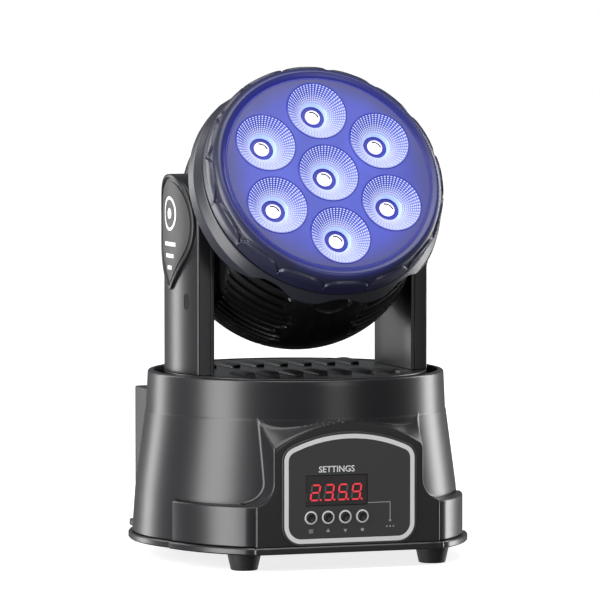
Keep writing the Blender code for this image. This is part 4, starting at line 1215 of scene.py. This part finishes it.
@dataclass
class Turntable:
    """Round deck that turns in the base, with slots and raised louvres over them."""

    finishes: Finishes
    radius: float = 67.2
    top: float = 95.0
    slot_pitch: float = 13.0
    slot_half: float = 2.0
    near: float = 16.0
    far: float = 44.0

    def build(self) -> None:
        """Make the deck with its slots and the louvres."""
        radius, top = self.radius, self.top
        side = eased([(0, 91), (64.7, 91), (64.7, 78), (radius, 78), (radius, top), (62.0, top),
                      (61.4, top - 0.5), (60.8, top), (0, top)], 0.6, 4)
        deck = add_skins("turntable_deck", [Skin(turned(side, 144))],
                         [self.finishes.housing], Place("yoke", "housing", ("turntable",)))
        slots = []
        for x in self.slot_pitch * np.arange(-3, 4):
            for side_of in (-1, 1):
                low, high = sorted((side_of * self.near, side_of * self.far))
                half = self.slot_half
                ends = [arc((x, high - half), half, 0, 180, 8), arc((x, low + half), half, 180, 360, 8)]
                slots.append(mesh_from("cutter", [prism(np.concatenate(ends), 88, 98)]))
        carved(deck, slots)
        louvres = [self.louvre(x, side_of) for x in self.slot_pitch * np.arange(-3, 4) for side_of in (-1, 1)]
        add_skins("turntable_louvres", louvres, [self.finishes.housing],
                  Place("yoke", "housing"))

    def louvre(self, x: float, side_of: int) -> Skin:
        """Raised hood over one slot.

        Formula: a thin arched section, open on one side, is carried along the slot, and its height falls to
        nothing at both ends as the fourth root of 1 - t^2.

        Args:
            x: Middle of the slot.
            side_of: -1 for the front row and 1 for the rear row.

        Returns:
            The hood as a closed grid.
        """
        section = eased([(-3.4, 0.0), (-2.8, 1.2), (-0.6, 2.2), (2.0, 2.4), (2.0, 1.9), (-0.4, 1.6),
                         (-2.2, 0.8), (-2.7, 0.0)], 0.4, 3)
        t = np.linspace(-1, 1, 25)[:, None]
        lift = np.sqrt(np.sqrt(np.clip(1 - t**2, 0, 1)))
        along = side_of * (self.near + self.far) / 2 + t * ((self.far - self.near) / 2 + 0.8)
        grid = np.stack(np.broadcast_arrays(x + section[:, 0] * (0.7 + 0.3 * lift), along,
                                            self.top - 0.05 + section[:, 1] * lift), -1)
        return Skin(grid)


@dataclass
class YokeArm:
    """One upright arm: flat inside, rounded outside, with a curved teardrop cap over the tilt axis."""

    finishes: Finishes
    side: str
    inner: float = 53.2
    outer: float = 67.3
    half: float = 26.7
    low: float = 95.3
    split: float = 55.25
    round_edge: float = 0.9
    cap_radius: float = 25.2
    tip_radius: float = 4.5
    tip_drop: float = 29.3

    def __post_init__(self) -> None:
        """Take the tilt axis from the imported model."""
        self.sign = -1.0 if self.side == "left" else 1.0
        self.axis = float(joint_point("tilt")[2])
        self.crown = self.axis + self.half - self.cap_radius

    def on_drum(self, flat: Points, lift: Points) -> Points:
        """Wrap a side view onto the arm's outer drum: x = sqrt((R + lift)^2 - y^2).

        Args:
            flat: Points of (y, z).
            lift: Height of each above the drum.

        Returns:
            Points of (x, y, z) on this side of the light.
        """
        y, z = flat[..., 0], flat[..., 1]
        x = np.sqrt((self.outer + lift) ** 2 - y**2)
        return np.stack([self.sign * x, y, np.broadcast_to(z, x.shape)], -1)

    def section(self, half: Points) -> Points:
        """Cross-section for each half depth, going round once.

        Formula: an outer arc x = sqrt(R^2 - y^2), rounded corners made as parabolas, straight front and rear
        sides with a fine groove where the inner cover meets the moulding, and a flat inside.

        Args:
            half: Half depths, one to a row.

        Returns:
            A grid of (x, y), one row to each half depth.
        """
        h = half[:, None]
        ease = np.minimum(self.round_edge, 0.45 * h)
        t = np.linspace(0, 1, 6)[None, :]

        def drum(y: Points) -> Points:
            """Outer surface at a depth."""
            return np.sqrt(self.outer**2 - y**2)

        def bend(start: tuple, turn: tuple, end: tuple) -> tuple:
            """Parabola through a rounded corner, for x and for y."""
            return tuple(start[i] * (1 - t) ** 2 + 2 * turn[i] * t * (1 - t) + end[i] * t**2 for i in (0, 1))

        near, groove = drum(h - ease), np.minimum(0.35, 0.3 * h)
        top = bend((near, h - ease), (drum(h), h), (drum(h) - ease, h))
        inner = np.full_like(h, self.inner)
        low = bend((inner + ease * 0.6, h), (inner, h), (inner, h - ease * 0.6))
        line = np.array([0.25, 0.0, -0.25])[None, :]
        sunk = groove * np.array([0.0, 1.0, 0.0])[None, :]
        notch = (np.broadcast_to(self.split + line, (len(h), 3)), h - sunk)
        face = (h - ease) * np.linspace(1, -1, 29)[None, 1:-1]
        flat = (h - ease * 0.6) * np.linspace(1, -1, 5)[None, 1:-1]
        x = np.concatenate([top[0], notch[0], low[0], np.full_like(flat, self.inner), low[0][:, ::-1],
                            notch[0][:, ::-1], top[0][:, ::-1], drum(face)[:, ::-1]], 1)
        y = np.concatenate([top[1], notch[1], low[1], flat, -low[1][:, ::-1], -notch[1][:, ::-1],
                            -top[1][:, ::-1], face[:, ::-1]], 1)
        return np.stack([x, y], -1)

    def post(self) -> Skin:
        """Whole arm: the section carried straight up, then over a half round about the tilt axis.

        Returns:
            The solid arm as one grid.
        """
        straight = np.concatenate([[self.low], np.linspace(self.low + 0.4, self.axis, 24)])
        turn = np.linspace(0, math.pi / 2, 33)[1:]
        height = np.concatenate([straight, self.axis + self.half * np.sin(turn)])
        half = np.concatenate([np.full(len(straight), self.half), self.half * np.cos(turn)])
        flat = self.section(np.maximum(half, 1e-4))
        grid = np.concatenate([self.sign * flat[..., :1], flat[..., 1:],
                               np.broadcast_to(height[:, None, None], flat.shape[:2] + (1,))], -1)
        foot = grid[:1].copy()
        foot[..., 0] = self.sign * 59.0
        foot[..., 1] = 0.0
        return Skin(np.concatenate([foot, grid]))

    def teardrop(self) -> Points:
        """Outline of the cap: a large circle and a small one joined by their common tangents.

        Returns:
            Closed outline of (y, z).
        """
        lean = math.degrees(math.acos((self.cap_radius - self.tip_radius) / self.tip_drop))
        big = arc((0, self.crown), self.cap_radius, lean - 90, 270 - lean, 72)
        small = arc((0, self.crown - self.tip_drop), self.tip_radius, -90 - lean, lean - 90, 16)
        line = np.concatenate([big, small, big[:1]])
        return respaced(line, 161)[:-1]

    def cap(self) -> tuple[Skin, Skin]:
        """Raised rim with its sunk border, and the printed label inside it.

        Formula: rings are the teardrop drawn in by a distance, p - d n with n its outward normal, each with its
        own height above the drum.

        Returns:
            The cap and the label.
        """
        edge = self.teardrop()
        along = np.roll(edge, -1, 0) - np.roll(edge, 1, 0)
        along /= np.linalg.norm(along, axis=1, keepdims=True)
        normal = np.stack([along[:, 1], -along[:, 0]], -1)
        centre = np.array([0.0, self.crown - 3])
        drawn = [(0.0, -0.6), (0.0, 0.9), (0.15, 1.3), (0.5, 1.5), (1.7, 1.5), (2.1, 1.2), (2.3, 0.4),
                 (3.4, 0.3)]
        rings = [self.on_drum(edge - normal * inset, np.full(len(edge), lift)) for inset, lift in drawn]
        close = centre + 0.9 * (edge - normal * 3.4 - centre)
        rings.append(self.on_drum(close, np.full(len(edge), 0.4)))
        rings.append(self.on_drum(close, np.full(len(edge), -0.6)))
        cap = Skin(np.stack(rings), closes=True)
        inside = edge - normal * 3.7
        plan = [(0.0, 0.3), (1.0, 0.3), (1.0, 0.75), (0.985, 0.85), (0.7, 0.85), (0.35, 0.85), (0.0, 0.85)]
        fills = [self.on_drum(centre + scale * (inside - centre), np.full(len(edge), lift))
                 for scale, lift in plan]
        return cap, Skin(np.stack(fills))

    def marks(self) -> list[Skin]:
        """Plain printed marks: a ring round a dot, and three short bars below it.

        Returns:
            The marks, laid on the cap's curve.
        """
        top = self.crown
        lines = [(arc((0, top + 5.0), radius, 0, 354, 59), width, True)
                 for radius, width in ((8.0, 1.5), (1.5, 2.6))]
        for drop, reach in ((10.5, 8.0), (16.5, 5.6), (22.5, 3.0)):
            bar = np.array([(-reach, top - drop), (reach, top - drop)])
            lines.append((respaced(bar, 24), 2.0, False))
        skins = []
        for line, width, ring in lines:
            flat = ribbon(line, width, 0.7, 0.93, ring)
            laid = self.on_drum(flat.points[..., :2], flat.points[..., 2])
            skins.append(Skin(laid, flat.wraps, flat.closes))
        return skins

    def screw_holes(self) -> Skin:
        """Slot-shaped dish for two screws on the front half of the arm's outer face, near black: painted shade
        for the screw holes.

        Returns:
            The dish as one grid.
        """
        centre = np.array([-17.0, 132.0])
        apart = np.array([0.0, 1.9])
        outline = np.concatenate([arc(centre + apart, 1.6, 0, 180, 12), arc(centre - apart, 1.6, 180, 360, 12)])
        plan = [(0.0, -0.4), (1.15, -0.4), (1.15, 0.1), (1.05, 0.14), (0.95, 0.08), (0.85, 0.03), (0.0, 0.02)]
        rings = [self.on_drum(centre + scale * (outline - centre), np.full(len(outline), lift))
                 for scale, lift in plan]
        return Skin(np.stack(rings))

    def build(self) -> None:
        """Make the arm, its cap, the label and the printed marks."""
        name = self.side
        add_skins(f"{name}_arm", [self.post()], [self.finishes.housing],
                  Place("yoke", "housing", (f"{name}_arm_shell", f"{name}_arm_cover")))
        cap, label = self.cap()
        add_skins(f"{name}_cap_rim", [cap], [self.finishes.socket],
                  Place("yoke", "housing", (f"{name}_arm_cap",)))
        add_skins(f"{name}_cap_label", [label], [self.finishes.label],
                  Place("yoke", "cap_film"))
        add_skins(f"{name}_cap_marks", self.marks(), [self.finishes.ink],
                  Place("yoke", "cap_film"))
        # The screw sites are black: painted shade for the holes.
        add_skins(f"{name}_screw_sites_painted_shade", [self.screw_holes()],
                  [self.finishes.shadow_line], Place("yoke", "housing"))


# --------------------------------------------------------------------- head

@dataclass(frozen=True)
class HeadFrame:
    """The head's own frame: origin on the tilt axis and +Z along the beam."""

    origin: Points
    lift: float = 30.0

    def lay(self, points: Points) -> Points:
        """Turn points from the head's frame to the light's: about X by 90 degrees less the beam's lift.

        Args:
            points: Points in the head's frame.

        Returns:
            The same points in the light's frame.
        """
        turn = math.radians(90 - self.lift)
        c, s = math.cos(turn), math.sin(turn)
        basis = np.array([[1, 0, 0], [0, c, s], [0, -s, c]])
        return points @ basis + self.origin


@dataclass
class HeadFront:
    """Bezel with its ring of pressed petals, and the deeper band behind it with a scalloped rear edge."""

    finishes: Finishes
    head: HeadFrame
    petals: int = 16
    around: int = 40
    crest_at: float = 0.4
    valley_at: float = 0.7
    sunk: float = 1.0

    def bezel(self) -> Skin:
        """Front bezel.

        Formula: a rounded profile is turned, and its outer slope is pressed in where the distance along the
        slope passes the petal line. That line runs in arcs, valley + (crest - valley) sqrt(1 - (1 - u)^2) with
        u the size of cos(half the petal count times the angle), so petals are broad and the gaps sharp.

        Returns:
            The bezel as a closed grid.
        """
        lip = eased([(51.4, 53.2), (51.4, 54.6), (53.6, 54.6), (53.75, 56.3), (54.2, 56.5)], 0.3, 3)
        slope = eased([(54.3, 56.5), (55.3, 57.3), (57.6, 58.2), (60.2, 56.3), (61.9, 51.6), (62.5, 45.2),
                       (61.9, 44.2)], 2.0, 8)
        slope = respaced(slope, 58)
        back = np.array([(61.4, 44.15), (60.0, 44.3), (58.6, 50.2), (56.6, 53.2)])
        line = np.concatenate([lip, slope, back])
        along = np.gradient(slope, axis=0)
        along /= np.linalg.norm(along, axis=1, keepdims=True)
        normal = np.stack([along[:, 1], -along[:, 0]], -1)
        columns = self.petals * self.around
        angle = np.linspace(0, TAU, columns, endpoint=False) - math.pi / 2
        run = np.linspace(0, 1, len(slope))[:, None]
        lobe = np.abs(np.cos(self.petals / 2 * (angle[None, :] + math.pi / 2)))
        edge = self.valley_at + (self.crest_at - self.valley_at) * np.sqrt(1 - (1 - lobe) ** 2)
        depth = smooth_step(run - edge, 0.0, 0.05) * (1 - 0.85 * smooth_step(run, edge, 0.99))
        ridge = np.exp(-(((run - edge + 0.012) / 0.016) ** 2)) * 0.25
        push = (ridge - self.sunk * depth) * smooth_step(1 - run, 0.0, 0.08)
        turned_line = np.broadcast_to(line[:, None, :], (len(line), columns, 2)).copy()
        first = len(lip)
        turned_line[first:first + len(slope)] += normal[:, None, :] * push[..., None]
        radius, height = turned_line[..., 0], turned_line[..., 1]
        grid = np.stack([radius * np.cos(angle), radius * np.sin(angle), height], -1)
        return Skin(self.head.lay(grid), closes=True)

    def rear_edge(self, angle: Points) -> Points:
        """How far forward the band's rear edge lies: scallops at the bottom and the top, straight at the sides.

        Formula: with d the angle in degrees from straight down or straight up, a level of 39.8 and a cosine of
        amplitude 2.2 and period 33.5 degrees fade to a plain 33 from d = 36 to 60.

        Args:
            angle: Directions in the head's frame.

        Returns:
            Distance along the beam from the tilt axis.
        """
        from_pole = np.degrees(np.abs(np.arcsin(np.clip(np.abs(np.sin(angle)), 0, 1)) - math.pi / 2))
        keep = 1 - smooth_step(from_pole, 36, 60)
        return 33.0 + keep * (6.6 + 2.2 * np.cos(TAU * from_pole / 33.5))

    def band(self) -> Skin:
        """Deep band behind the bezel, with a wall, a web to the rear shell and a rounded scalloped edge.

        Returns:
            The band as a closed grid.
        """
        angle = np.linspace(0, TAU, 480, endpoint=False)[None, :]
        edge = self.rear_edge(angle)
        v = np.linspace(0, 1, 22)[:, None]
        height = 43.3 + (edge - 43.3) * v
        radius = np.interp(height, [28.2, 32.6, 38.6, 43.3], [66.6, 66.9, 65.8, 62.9])
        outer = np.stack(np.broadcast_arrays(radius, height), -1)
        last = outer[-1:]
        rolled = [last + (-0.35, -0.5), last + (-1.1, -0.75), last + (-1.8, -0.45), last + (-2.1, 0.3)]
        inner_top = np.broadcast_to(np.array([59.6, 42.9]), last.shape)
        web = [np.broadcast_to(np.array(pair), last.shape) for pair in
               ((46.0, 42.9), (46.0, 43.7), (62.0, 43.75), (62.6, 43.65))]
        lines = np.concatenate([outer, *rolled, inner_top, *web])
        grid = np.stack([lines[..., 0] * np.cos(angle), lines[..., 0] * np.sin(angle), lines[..., 1]], -1)
        return Skin(self.head.lay(grid), closes=True)

    def build(self) -> None:
        """Make the bezel and the band."""
        add_skins("head_bezel", [self.bezel()], [self.finishes.lip],
                  Place("head", "bezel", ("front_bezel",)))
        add_skins("head_band", [self.band()], [self.finishes.head],
                  Place("head", "bezel", ("head_ring",)))


@dataclass
class RearShell:
    """Hollow dome with flattened sides: ribs round both sides, a plain middle and ring grooves at the back."""

    finishes: Finishes
    head: HeadFrame
    radius: float = 64.5
    half: float = 50.0
    front: float = 42.6
    wall: float = 2.8
    rib_pitch: float = 5.0
    rib_depth: float = 1.5
    plain_half: float = 19.0

    def surface(self) -> Points:
        """Outer surface of the dome.

        Formula: a sphere, x clipped to the flat sides; its radius is cut by rib_depth in a squared wave of the
        distance along the beam wherever x is beyond the plain middle, and by rings round the beam near the
        pole. An oval ridge stands on the plain middle under the head.

        Returns:
            The grid in the head's frame, from its front edge to the rear pole.
        """
        height = np.concatenate([np.arange(self.front, -52.0, -0.5), np.linspace(-52.2, -63.9, 40),
                                 [-self.radius + 0.02, -self.radius]])[:, None]
        angle = np.linspace(0, TAU, 288, endpoint=False)[None, :]
        ring = np.sqrt(np.maximum(self.radius**2 - height**2, 0))
        x = ring * np.cos(angle)
        y = ring * np.sin(angle)
        aside = np.abs(x)
        wave = 0.5 + 0.5 * np.cos(TAU * height / self.rib_pitch)
        cut = smooth_step(wave, 0.42, 0.62)
        stop = self.plain_half + 3.0 * np.cos(TAU * height / 21.0)
        zone = smooth_step(aside, stop, stop + 1.2) * (1 - smooth_step(aside, 47.5, 49.0))
        zone = zone * smooth_step(height, -40.0, -37.0) * (1 - smooth_step(height, 34.0, 35.0))
        depth = self.rib_depth * cut * zone
        vent = 0.5 + 0.5 * np.cos(TAU * ring / 4.6)
        depth = depth + 1.4 * smooth_step(vent, 0.4, 0.65) * smooth_step(-height, 54.5, 55.5) * (ring > 5.0)
        seam = np.exp(-(((aside - self.plain_half - 0.2) / 0.35) ** 2)) * smooth_step(height, -45.0, -42.0)
        depth = depth + 0.45 * seam
        oval = np.sqrt((x / 9.5) ** 2 + ((height - 26.0) / 5.0) ** 2)
        under = (y < 0) * np.exp(-(((oval - 1.0) / 0.12) ** 2)) * 0.9
        scale = (self.radius - depth + under) / self.radius
        side = np.clip(x, -self.half, self.half)
        bevel = soft_min(aside * scale, np.full_like(aside, self.half), 2.5)
        side = np.sign(x) * np.where(aside > 1e-9, bevel, 0.0)
        return np.stack(np.broadcast_arrays(side, y * scale, height * scale), -1)

    def build(self) -> None:
        """Make the dome as a closed wall: the outer grid, then the same grid drawn in, back to the front."""
        outer = self.surface()
        plain = outer[::4] * ((self.radius - self.wall) / self.radius)
        plain[..., 0] = np.clip(plain[..., 0], self.wall - self.half, self.half - self.wall)
        pole = outer[-1:] * ((self.radius - self.wall) / self.radius)
        grid = np.concatenate([outer, pole, plain[::-1]])
        mesh = mesh_from("head_rear_dome", [Skin(self.head.lay(grid), closes=True)])
        add_piece("head_rear_dome", mesh, [self.finishes.inner], Place("head", "housing", ("rear_shell",)))


@dataclass
class Optics:
    """Lit plate with seven faceted lenses, each with a deep well and a source dome at its bottom."""

    finishes: Finishes
    head: HeadFrame
    face: float = 56.7
    plate_radius: float = 53.4
    lens_radius: float = 15.6
    ring: float = 35.3
    well_radius: float = 6.2
    well_depth: float = 7.4
    sectors: int = FacetedLens.sectors
    rings: int = FacetedLens.rings

    def places(self) -> Points:
        """Middle of each lens: one in the centre and six on a ring, the first straight up.

        Returns:
            Seven points of (x, y) in the head's frame.
        """
        turn = np.radians(90 + 60 * np.arange(6))
        around = np.stack([self.ring * np.cos(turn), self.ring * np.sin(turn)], -1)
        return np.concatenate([np.zeros((1, 2)), around])

    def lens(self) -> list[Skin]:
        """One lens in its own frame, as four closed or open grids that meet.

        Formula: the face is a bowl, lip + rise * v^0.85 with v from 0 at the well to 1 at the edge, plus pillows
        of 0.4 * (|sin(sector)| * |sin(ring)|)^0.7; the well is a short wall down to a groove, and the source is
        a low dome.

        Returns:
            The faceted face with its body, the well wall, the groove and the dome.
        """
        per_sector, per_ring = 4, 5
        columns = self.sectors * per_sector
        angle = np.linspace(0, TAU, columns, endpoint=False)[None, :]
        v = np.linspace(0, 1, self.rings * per_ring + 1)[:, None]
        inner, edge = self.well_radius + 1.2, self.lens_radius - 0.25
        radius = inner + v * (edge - inner)
        across, along = np.sin(angle * self.sectors / 2), np.sin(math.pi * self.rings * v)
        pillow = np.abs(across) ** 0.7 * np.abs(along) ** 0.7
        floor = self.face - self.well_depth
        lip = floor + 2.4
        height = lip + (self.face + 0.3 - lip) * v**0.85 + 0.4 * pillow
        face = np.stack(np.broadcast_arrays(radius * np.cos(angle), radius * np.sin(angle), height), -1)
        rim = turned(np.array([(self.lens_radius - 0.1, self.face + 0.38), (self.lens_radius, self.face + 0.05),
                               (self.lens_radius, self.face - 4.0), (5.5, 42.0), (0.0, 42.0)]), columns)
        body_v = np.concatenate([v[:, 0], np.full(5, 1.0)])
        wall = turned(np.array([(inner, lip), (inner - 0.5, lip - 0.5), (self.well_radius, floor)]), 64)
        groove = turned(np.array([(self.well_radius, floor), (self.well_radius - 0.3, floor - 0.3),
                                  (4.2, floor - 0.3), (4.0, floor + 0.1)]), 64)
        turn = np.linspace(0, math.pi / 2, 9)
        dome = turned(np.stack([4.0 * np.cos(turn), floor + 0.1 + 1.3 * np.sin(turn)], -1), 64)
        return [Skin(np.concatenate([face, rim]), rows_v=body_v), Skin(wall, finish=1), Skin(groove, finish=2),
                Skin(dome, finish=3)]

    def bond_line(self) -> Skin:
        """Short dark curved bar across the upper right of the source dome, the edge of its bond.

        Returns:
            The bar as one grid.
        """
        line = arc((-1.2, -1.5), 4.0, 15, 95, 20)
        drop = self.face - self.well_depth + 1.15
        return ribbon(line, 0.75, drop - 1.1, drop + 0.12, False)

    def build(self) -> None:
        """Make the plate with its holes and the seven lenses."""
        f = self.finishes
        steps = np.linspace(0, 1, 28)
        lit = turned(np.stack([steps * self.plate_radius, np.full(28, self.face)], -1), 128)
        rear = self.face - 2.0
        back = turned(np.array([(self.plate_radius, self.face), (self.plate_radius, rear), (0.0, rear)]), 128)
        mesh = mesh_from("lens_plate_lit", [Skin(self.head.lay(lit), rows_v=steps),
                                            Skin(self.head.lay(back), finish=1)])
        lit_plate = add_piece("lens_plate_lit", mesh, [f.plate, f.inner],
                              Place("head", "bezel", ("lens_plate",)))
        holes = []
        for place in self.places():
            drum = prism(arc(place, self.lens_radius + 0.25, 0, 355, 71), self.face - 6, self.face + 4)
            holes.append(mesh_from("cutter", [Skin(self.head.lay(drum.points))]))
        carved(lit_plate, holes)
        rims = []
        for number, place in enumerate(self.places(), 1):
            shift = np.array([place[0], place[1], 0.0])
            skins = [Skin(self.head.lay(skin.points + shift), skin.wraps, skin.closes, skin.finish, skin.rows_v)
                     for skin in self.lens()]
            name = f"faceted_lens_{number}"
            add_skins(name, skins, [f.lens, f.well, f.groove, f.source],
                      Place("head", "lens", (f"lens_{number}",)))
            mark = self.bond_line()
            marked = Skin(self.head.lay(mark.points + shift), mark.wraps, mark.closes)
            add_skins(f"source_bond_line_{number}", [marked],
                      [f.shadow_line], Place("head", "lens"))
            # Each lens sits in a thin gasket given the groove's painted deep blue glow.
            rim = turned(eased([(15.65, self.face - 1), (15.65, self.face + 0.3), (16.1, self.face + 0.3),
                                (16.35, self.face - 1)], 0.15, 3), 96)
            rims.append(Skin(self.head.lay(rim + shift), closes=True))
        add_skins("lens_gaskets_painted_glow", rims, [f.groove], Place("head", "bezel"))
        # The plate's edge gasket has the same painted blue glow, standing in for the blue light on the bezel's
        # inner wall.
        glow = turned(eased([(53.45, self.face - 1.2), (53.45, self.face - 0.15), (54.1, self.face - 0.15),
                             (54.1, self.face - 1.2)], 0.1, 3), 160)
        add_skins("plate_edge_gasket_painted_glow", [Skin(self.head.lay(glow), closes=True)],
                  [f.groove], Place("head", "bezel"))


# ---------------------------------------------------------- works and stage

def dress_works(finishes: Finishes) -> None:
    """Give every CAD node that still shows its real finish.

    Args:
        finishes: The light's materials.
    """
    plan = {
        finishes.steel: ("chassis_frame", "pan_bearing", "pan_motor", "pan_shaft", "pan_circlip", "tilt_motor",
                         "tilt_motor_bracket", "left_tilt_bearing", "right_tilt_bearing", "left_tilt_axle",
                         "right_tilt_axle"),
        finishes.alloy: ("heat_sink", "pan_motor_pulley", "tilt_motor_pulley"),
        finishes.board: ("display_board", "control_board", "power_supply_board", "led_board"),
        finishes.belt: ("pan_belt", "tilt_belt"),
        finishes.inner: ("fan_frame", "fan_rotor", "pan_pulley", "tilt_pulley"),
        finishes.paint: ("rear_panel",),
    }
    for finish, names in plan.items():
        for name in names:
            mesh = frame["nodes"][name].data
            mesh.materials.clear()
            mesh.materials.append(finish)
    LOG.info("works dressed: %d nodes", sum(len(names) for names in plan.values()))


@dataclass
class Studio:
    """Pale floor, soft lights and the camera."""

    azimuth: float = -19.894
    pitch: float = 3.942
    distance: float = 3.1523
    lens: float = 368.77
    aim_height: float = 0.1303
    aim_right: float = 0.0023

    def directions(self) -> tuple[Vector, Vector]:
        """Way from the light to the camera, and the camera's right.

        Returns:
            Two unit vectors.
        """
        a, e = math.radians(self.azimuth), math.radians(self.pitch)
        back = Vector((math.sin(a) * math.cos(e), -math.cos(a) * math.cos(e), math.sin(e)))
        return back, Vector((math.cos(a), math.sin(a), 0.0))

    def camera(self) -> None:
        """Set the camera at its viewing angle."""
        back, right = self.directions()
        data = bpy.data.cameras.new("camera")
        data.lens, data.sensor_width = self.lens, 36.0
        data.clip_end = 50.0
        camera = bpy.data.objects.new("camera", data)
        bpy.context.scene.collection.objects.link(camera)
        camera.location = Vector((0, 0, self.aim_height)) + back * self.distance + right * self.aim_right
        camera.rotation_mode = "QUATERNION"
        camera.rotation_quaternion = (-back).to_track_quat("-Z", "Y")
        bpy.context.scene.camera = camera

    def panel(self, name: str, azimuth: float, height: float, distance: float, size: tuple, power: float,
              aim: float = 0.12) -> None:
        """Soft light panel, placed by the azimuth it stands at.

        Args:
            name: Name of the light.
            azimuth: Where it stands, in degrees: 0 is in front and 90 to the right.
            height: Height of its middle, in metres.
            distance: Distance from the axis, in metres.
            size: Width and height, in metres.
            power: Radiant power, in watts.
            aim: Height that it is aimed at, in metres.
        """
        data = bpy.data.lights.new(name, "AREA")
        data.shape = "RECTANGLE"
        data.size, data.size_y = size
        data.energy = power
        lamp = bpy.data.objects.new(name, data)
        bpy.context.scene.collection.objects.link(lamp)
        turn = math.radians(azimuth)
        lamp.location = (distance * math.sin(turn), -distance * math.cos(turn), height)
        lamp.rotation_mode = "QUATERNION"
        lamp.rotation_quaternion = (Vector((0, 0, aim)) - lamp.location).to_track_quat("-Z", "Y")

    def world(self) -> None:
        """White surroundings for the eye, and a dim cool grey for what the plastic mirrors."""
        world = bpy.data.worlds.new("studio")
        world.use_nodes = True
        bpy.context.scene.world = world
        tree = world.node_tree
        tree.nodes.clear()
        seen = add_node(tree, "ShaderNodeBackground", {"Color": (1, 1, 1, 1), "Strength": 1.0})
        mirrored = add_node(tree, "ShaderNodeBackground", {"Color": (0.8, 0.82, 0.85, 1), "Strength": 0.22})
        ray = add_node(tree, "ShaderNodeLightPath")
        sources = {0: ray.outputs["Is Camera Ray"], 1: mirrored.outputs[0], 2: seen.outputs[0]}
        mix = add_node(tree, "ShaderNodeMixShader", links=sources)
        add_node(tree, "ShaderNodeOutputWorld", links={0: mix.outputs[0]})

    def floor(self) -> None:
        """Wide pale floor of painted board, which also glows by itself as painted light, a little less near the
        light than far away.
        """
        half = 6000.0
        corners = np.array([(-half, -half), (half, -half), (half, half), (-half, half)])
        grid = np.concatenate([corners, np.zeros((4, 1))], -1)[[0, 1, 3, 2]].reshape(2, 2, 3)
        mesh = mesh_from("studio_floor", [Skin(grid, wraps=False)])
        board = Finish("painted_board_pale", "bcbcbc", 0.85, grain_mm=4.0, relief_mm=0.01, shade=0.01).dress()
        tree = board.node_tree
        shader = tree.nodes["Principled BSDF"]
        shader.inputs["Specular IOR Level"].default_value = 0.0
        shader.inputs["Emission Color"].default_value = (1, 1, 1, 1)
        where = add_node(tree, "ShaderNodeTexCoord").outputs["Object"]
        # Painted light: the board's own glow, 0.8 within 0.16 m of the middle rising to 1.0 from 0.8 m out, so
        # that it reads white.
        away = add_node(tree, "ShaderNodeVectorMath", {"operation": "LENGTH"}, {0: where})
        power = add_node(tree, "ShaderNodeMapRange", {1: 0.16, 2: 0.8, 3: 0.8, 4: 1.0},
                         {0: away.outputs["Value"]})
        tree.links.new(power.outputs[0], shader.inputs["Emission Strength"])
        # Seen by the eye only, so that the glossy plastic mirrors the light panels all the way down.
        clear = add_node(tree, "ShaderNodeBsdfTransparent")
        ray = add_node(tree, "ShaderNodeLightPath")
        sources = {0: ray.outputs["Is Camera Ray"], 1: clear.outputs[0], 2: shader.outputs[0]}
        mix = add_node(tree, "ShaderNodeMixShader", links=sources)
        tree.links.new(mix.outputs[0], tree.nodes["Material Output"].inputs["Surface"])
        mesh.materials.append(board)
        floor = bpy.data.objects.new("studio_floor", mesh)
        bpy.context.scene.collection.objects.link(floor)

    def build(self) -> None:
        """Set the camera, the floor, the surroundings and the lights."""
        self.camera()
        self.floor()
        self.world()
        self.panel("key_left", -78, 0.25, 1.3, (0.62, 1.5), 26)
        self.panel("rim_left", -146, 0.25, 1.3, (0.3, 1.5), 9)
        self.panel("rim_right", 103, 0.25, 1.3, (0.36, 1.5), 15)
        self.panel("top", -10, 1.7, 0.5, (1.6, 1.2), 26)
        self.panel("front", 12, 0.6, 2.6, (0.8, 1.0), 8)
        bpy.context.scene.view_settings.view_transform = "Standard"


def main() -> None:
    """Build every sub-assembly in order."""
    logging.basicConfig(level=logging.INFO, format="%(message)s")
    finishes = Finishes()
    Studio().build()
    panel = ControlPanel(finishes)
    sockets = RearSockets(finishes)
    BaseCover(finishes).build(panel.cutters(), sockets.opening())
    Feet(finishes).build()
    panel.build()
    sockets.build()
    Turntable(finishes).build()
    for side in ("left", "right"):
        YokeArm(finishes, side).build()
    head = HeadFrame(joint_point("tilt"))
    HeadFront(finishes, head).build()
    RearShell(finishes, head).build()
    Optics(finishes, head).build()
    dress_works(finishes)


if __name__ == "__main__":
    main()
